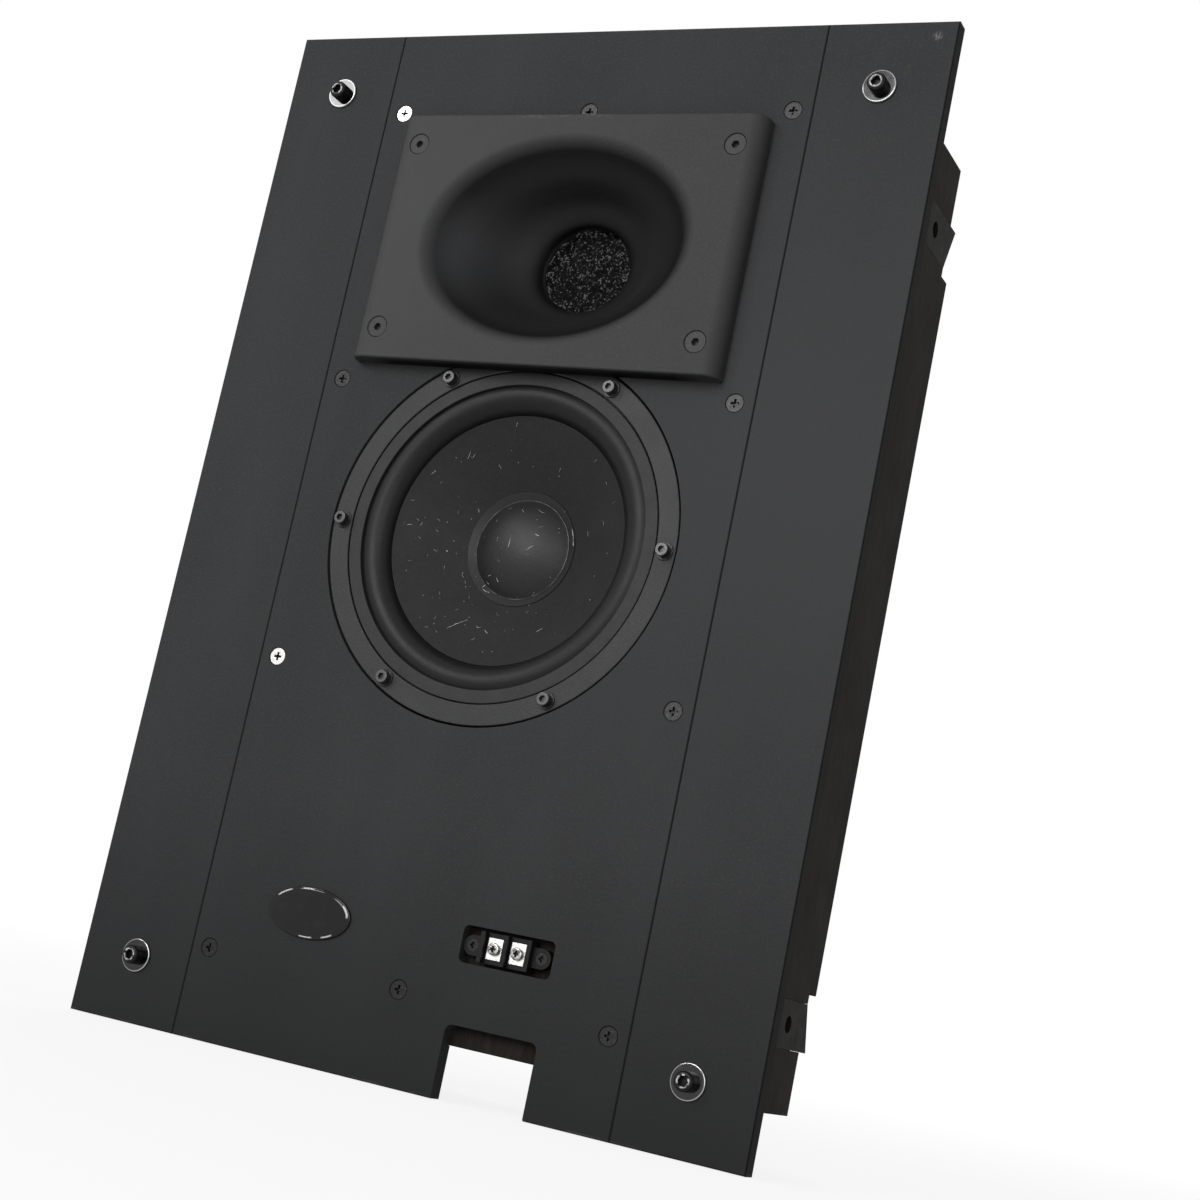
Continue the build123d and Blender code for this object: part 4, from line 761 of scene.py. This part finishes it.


# Badge: a bare oval of clear resin poured over black, stuck on the baffle.
# A thin base plate with a rounded edge carries the glossy dome, and short bright lines are painted along the
# dome's edge as painted highlights.
badge_x, badge_z = -0.0616, -0.213
half_width, half_height = 0.0255, 0.0135
bpy.ops.object.select_all(action="DESELECT")
bpy.ops.mesh.primitive_cylinder_add(
    vertices=128, radius=1.0, depth=0.0016, location=(badge_x, -0.0098, badge_z), rotation=(math.pi / 2, 0, 0)
)
base = bpy.context.object
base.scale = (half_width, half_height, 1.0)
bpy.ops.object.transform_apply(location=True, rotation=True, scale=True)
rounded = base.modifiers.new("rounded", "BEVEL")
rounded.width = 0.0007
rounded.segments = 6
rounded.limit_method = "ANGLE"
bpy.ops.object.modifier_apply(modifier="rounded")
bpy.ops.object.select_all(action="DESELECT")
bpy.ops.mesh.primitive_uv_sphere_add(
    segments=128,
    ring_count=64,
    radius=1.0,
    location=(badge_x, -0.0104, badge_z),
    rotation=(math.pi / 2, 0, 0),
)
dome = bpy.context.object
dome.scale = (half_width - 0.0009, half_height - 0.0009, 0.0010)
bpy.ops.object.transform_apply(location=True, rotation=True, scale=True)
bpy.ops.object.mode_set(mode="EDIT")
bpy.ops.mesh.select_all(action="SELECT")
bpy.ops.mesh.bisect(
    plane_co=(0, -0.01046, 0), plane_no=(0, 1, 0), use_fill=True, clear_outer=True, threshold=0.0000005
)
bpy.ops.mesh.select_all(action="SELECT")
bpy.ops.mesh.normals_make_consistent(inside=False)
bpy.ops.object.mode_set(mode="OBJECT")
base.select_set(True)
bpy.ops.object.join()
bpy.ops.object.shade_smooth_by_angle(angle=math.radians(40))
dome.name = dome.data.name = "badge_dome"
resin = new_finish("badge_resin", (0.0020, 0.0020, 0.0023), 0.04, specular=0.30)
tint(resin, spread(resin, spots(resin, 200, 2), 0.50, 0.74), (0.0050, 0.0050, 0.0055))
badge_middle = (badge_x, -0.0098, badge_z)
flattened = (1.0, 0.0, half_width / half_height)
# Painted highlight: short bright lines are painted on the dome's edge.
rim_line = both(
    resin,
    near(resin, badge_middle, 0.0238, 0.0246, flattened),
    near(resin, badge_middle, 0.0236, 0.0228, flattened),
)
painted_rim_glints = (
    (-0.0170, 0.0088, 0.0050),
    (-0.0030, 0.0120, 0.0040),
    (0.0222, 0.0045, 0.0040),
    (0.0010, -0.0122, 0.0044),
    (0.0135, -0.0100, 0.0036),
)
for along, rise, reach in painted_rim_glints:
    painted_glint = near(resin, (badge_x + along, -0.0105, badge_z + rise), reach * 0.7, reach)
    tint(resin, both(resin, rim_line, painted_glint), (0.55, 0.55, 0.55))
gloss(resin, spots(resin, 250), 0.03, 0.07)
dome.data.materials.append(resin)
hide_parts("badge")
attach(dome, "cabinet")


# Crossover: a small board on stand-offs inside the cabinet, with a coil, capacitors and a resistor.
# Green coated board, film capacitors in yellow tape, a white ceramic resistor and turned spacers.
board_green = new_finish("board_green", (0.018, 0.075, 0.032), 0.4, specular=0.5)
tracks = spread(board_green, spots(board_green, 130, 2, (1, 1, 3)), 0.52, 0.58)
tint(board_green, tracks, (0.030, 0.115, 0.050))
gloss(board_green, spots(board_green, 100), 0.32, 0.5)
grain(board_green, spots(board_green, 900, 2), 0.00006)
dress(board_green, "crossover_board")

capacitor_tape = new_finish("capacitor_tape", (0.62, 0.40, 0.05), 0.4, specular=0.5)
tint(capacitor_tape, spread(capacitor_tape, spots(capacitor_tape, 90, 3), 0.46, 0.70), (0.50, 0.31, 0.035))
gloss(capacitor_tape, spots(capacitor_tape, 150), 0.32, 0.52)
grain(capacitor_tape, spots(capacitor_tape, 500, 2), 0.00010)
dress(capacitor_tape, "crossover_capacitors")

ceramic = new_finish("resistor_ceramic", (0.66, 0.64, 0.58), 0.7, specular=0.3)
tint(ceramic, spread(ceramic, spots(ceramic, 700, 4), 0.48, 0.70), (0.52, 0.50, 0.45))
gloss(ceramic, spots(ceramic, 200), 0.6, 0.8)
grain(ceramic, spots(ceramic, 900, 3), 0.00015)
dress(ceramic, "crossover_resistor")
dress(brass, "crossover_standoffs")


# Leads: twin cables clipped inside, from the terminal strip to the crossover and on to both drivers.
# The jackets are soft black vinyl with a slight sheen.
jacket = new_finish("lead_vinyl", (0.014, 0.014, 0.0145), 0.42, specular=0.5)
tint(jacket, spread(jacket, spots(jacket, 300, 3), 0.50, 0.72), (0.024, 0.024, 0.024))
gloss(jacket, spots(jacket, 120), 0.34, 0.54)
grain(jacket, spots(jacket, 800, 2), 0.00008)
dress(jacket, "lead_terminal", "lead_woofer", "lead_driver")


# Floor: a wide pale sheet that the speaker stands on for its picture.
# Its white holds for the camera and in reflections, and it keeps the soft shadow.
def white_to_sight(tree, lit, strength=None):
    """How far a surface or the sky shows plain white: to the camera, to gloss and through glass."""
    sight = tree.nodes.new("ShaderNodeLightPath")
    most = sight.outputs["Is Camera Ray"]
    for other in ("Is Glossy Ray", "Is Transmission Ray"):
        larger = tree.nodes.new("ShaderNodeMath")
        larger.operation = "MAXIMUM"
        tree.links.new(most, larger.inputs[0])
        tree.links.new(sight.outputs[other], larger.inputs[1])
        most = larger.outputs[0]
    if strength:
        share = tree.nodes.new("ShaderNodeMath")
        share.operation = "MULTIPLY"
        tree.links.new(strength, share.inputs[1])
        tree.links.new(most, share.inputs[0])
        most = share.outputs[0]
    mixed = tree.nodes.new("ShaderNodeMixShader")
    tree.links.new(most, mixed.inputs[0])
    tree.links.new(lit, mixed.inputs[1])
    return mixed


floor_z = -0.2905
bpy.ops.object.select_all(action="DESELECT")
bpy.ops.mesh.primitive_plane_add(size=30, location=(0, 0, floor_z))
floor = bpy.context.object
floor.name = "floor"
pale = new_finish("floor_pale", (0.82, 0.82, 0.82), 0.9, specular=0.05)
tint(pale, spread(pale, spots(pale, 2, 2), 0.40, 0.70), (0.80, 0.80, 0.80))
tree = pale.node_tree
place = add(pale, "ShaderNodeTexCoord", {}).outputs["Object"]
far_out = add(pale, "ShaderNodeVectorMath", {0: place}, operation="LENGTH").outputs["Value"]
whiter = add(pale, "ShaderNodeMapRange", {"Value": far_out, "From Min": 0.5, "From Max": 2.2, "To Min": 0.86})
mixed = white_to_sight(tree, tree.nodes["Principled BSDF"].outputs[0], whiter.outputs[0])
glow = tree.nodes.new("ShaderNodeEmission")
tree.links.new(glow.outputs[0], mixed.inputs[2])
tree.links.new(mixed.outputs[0], tree.nodes["Material Output"].inputs["Surface"])
floor.data.materials.append(pale)


# Studio light: a large soft lamp ahead, a weaker one on the right, a small one far left and one behind.
# The sky is plain white to the eye and a soft grey as light.
def soft_lamp(name, place, width, power):
    lamp = bpy.data.objects.new(name, bpy.data.lights.new(name, "AREA"))
    lamp.data.shape = "DISK"
    lamp.data.size = width
    lamp.data.energy = power
    lamp.location = place
    lamp.rotation_euler = (-Vector(place)).to_track_quat("-Z", "Y").to_euler()
    bpy.context.collection.objects.link(lamp)


soft_lamp("lamp_key", (-0.58, -2.64, 0.84), 1.3, 36)
soft_lamp("lamp_right", (1.25, -2.65, 0.50), 1.5, 20)
soft_lamp("lamp_left", (-1.60, -1.95, 1.23), 0.6, 11)
soft_lamp("lamp_back", (-1.4, 2.4, 1.6), 1.6, 34)
world = bpy.data.worlds.new("studio")
bpy.context.scene.world = world
world.use_nodes = True
sky = world.node_tree
dim = sky.nodes["Background"]
dim.inputs["Color"].default_value = (1, 1, 1, 1)
dim.inputs["Strength"].default_value = 0.34
seen = white_to_sight(sky, dim.outputs[0])
plain = sky.nodes.new("ShaderNodeBackground")
plain.inputs["Color"].default_value = (1, 1, 1, 1)
plain.inputs["Strength"].default_value = 1.0
sky.links.new(plain.outputs[0], seen.inputs[2])
sky.links.new(seen.outputs[0], sky.nodes["World Output"].inputs["Surface"])
bpy.context.scene.view_settings.view_transform = "Standard"


# Camera: low on the speaker's right, looking up a little and turned so that its right side shows.
right = Vector((0.8728, 0.4417, 0.2077))
up = Vector((-0.10225, -0.25061, 0.96267))
forward = Vector((-0.47724, 0.86146, 0.17357))
camera = bpy.data.objects.new("camera", bpy.data.cameras.new("camera"))
camera.data.lens = 63.85
camera.data.sensor_width = 36
camera.data.shift_x = 0.0792
stand = Matrix((right, up, -forward)).transposed().to_4x4()
stand.translation = (0.5430, -0.9658, -0.2274)
camera.matrix_world = stand
bpy.context.collection.objects.link(camera)
bpy.context.scene.camera = camera
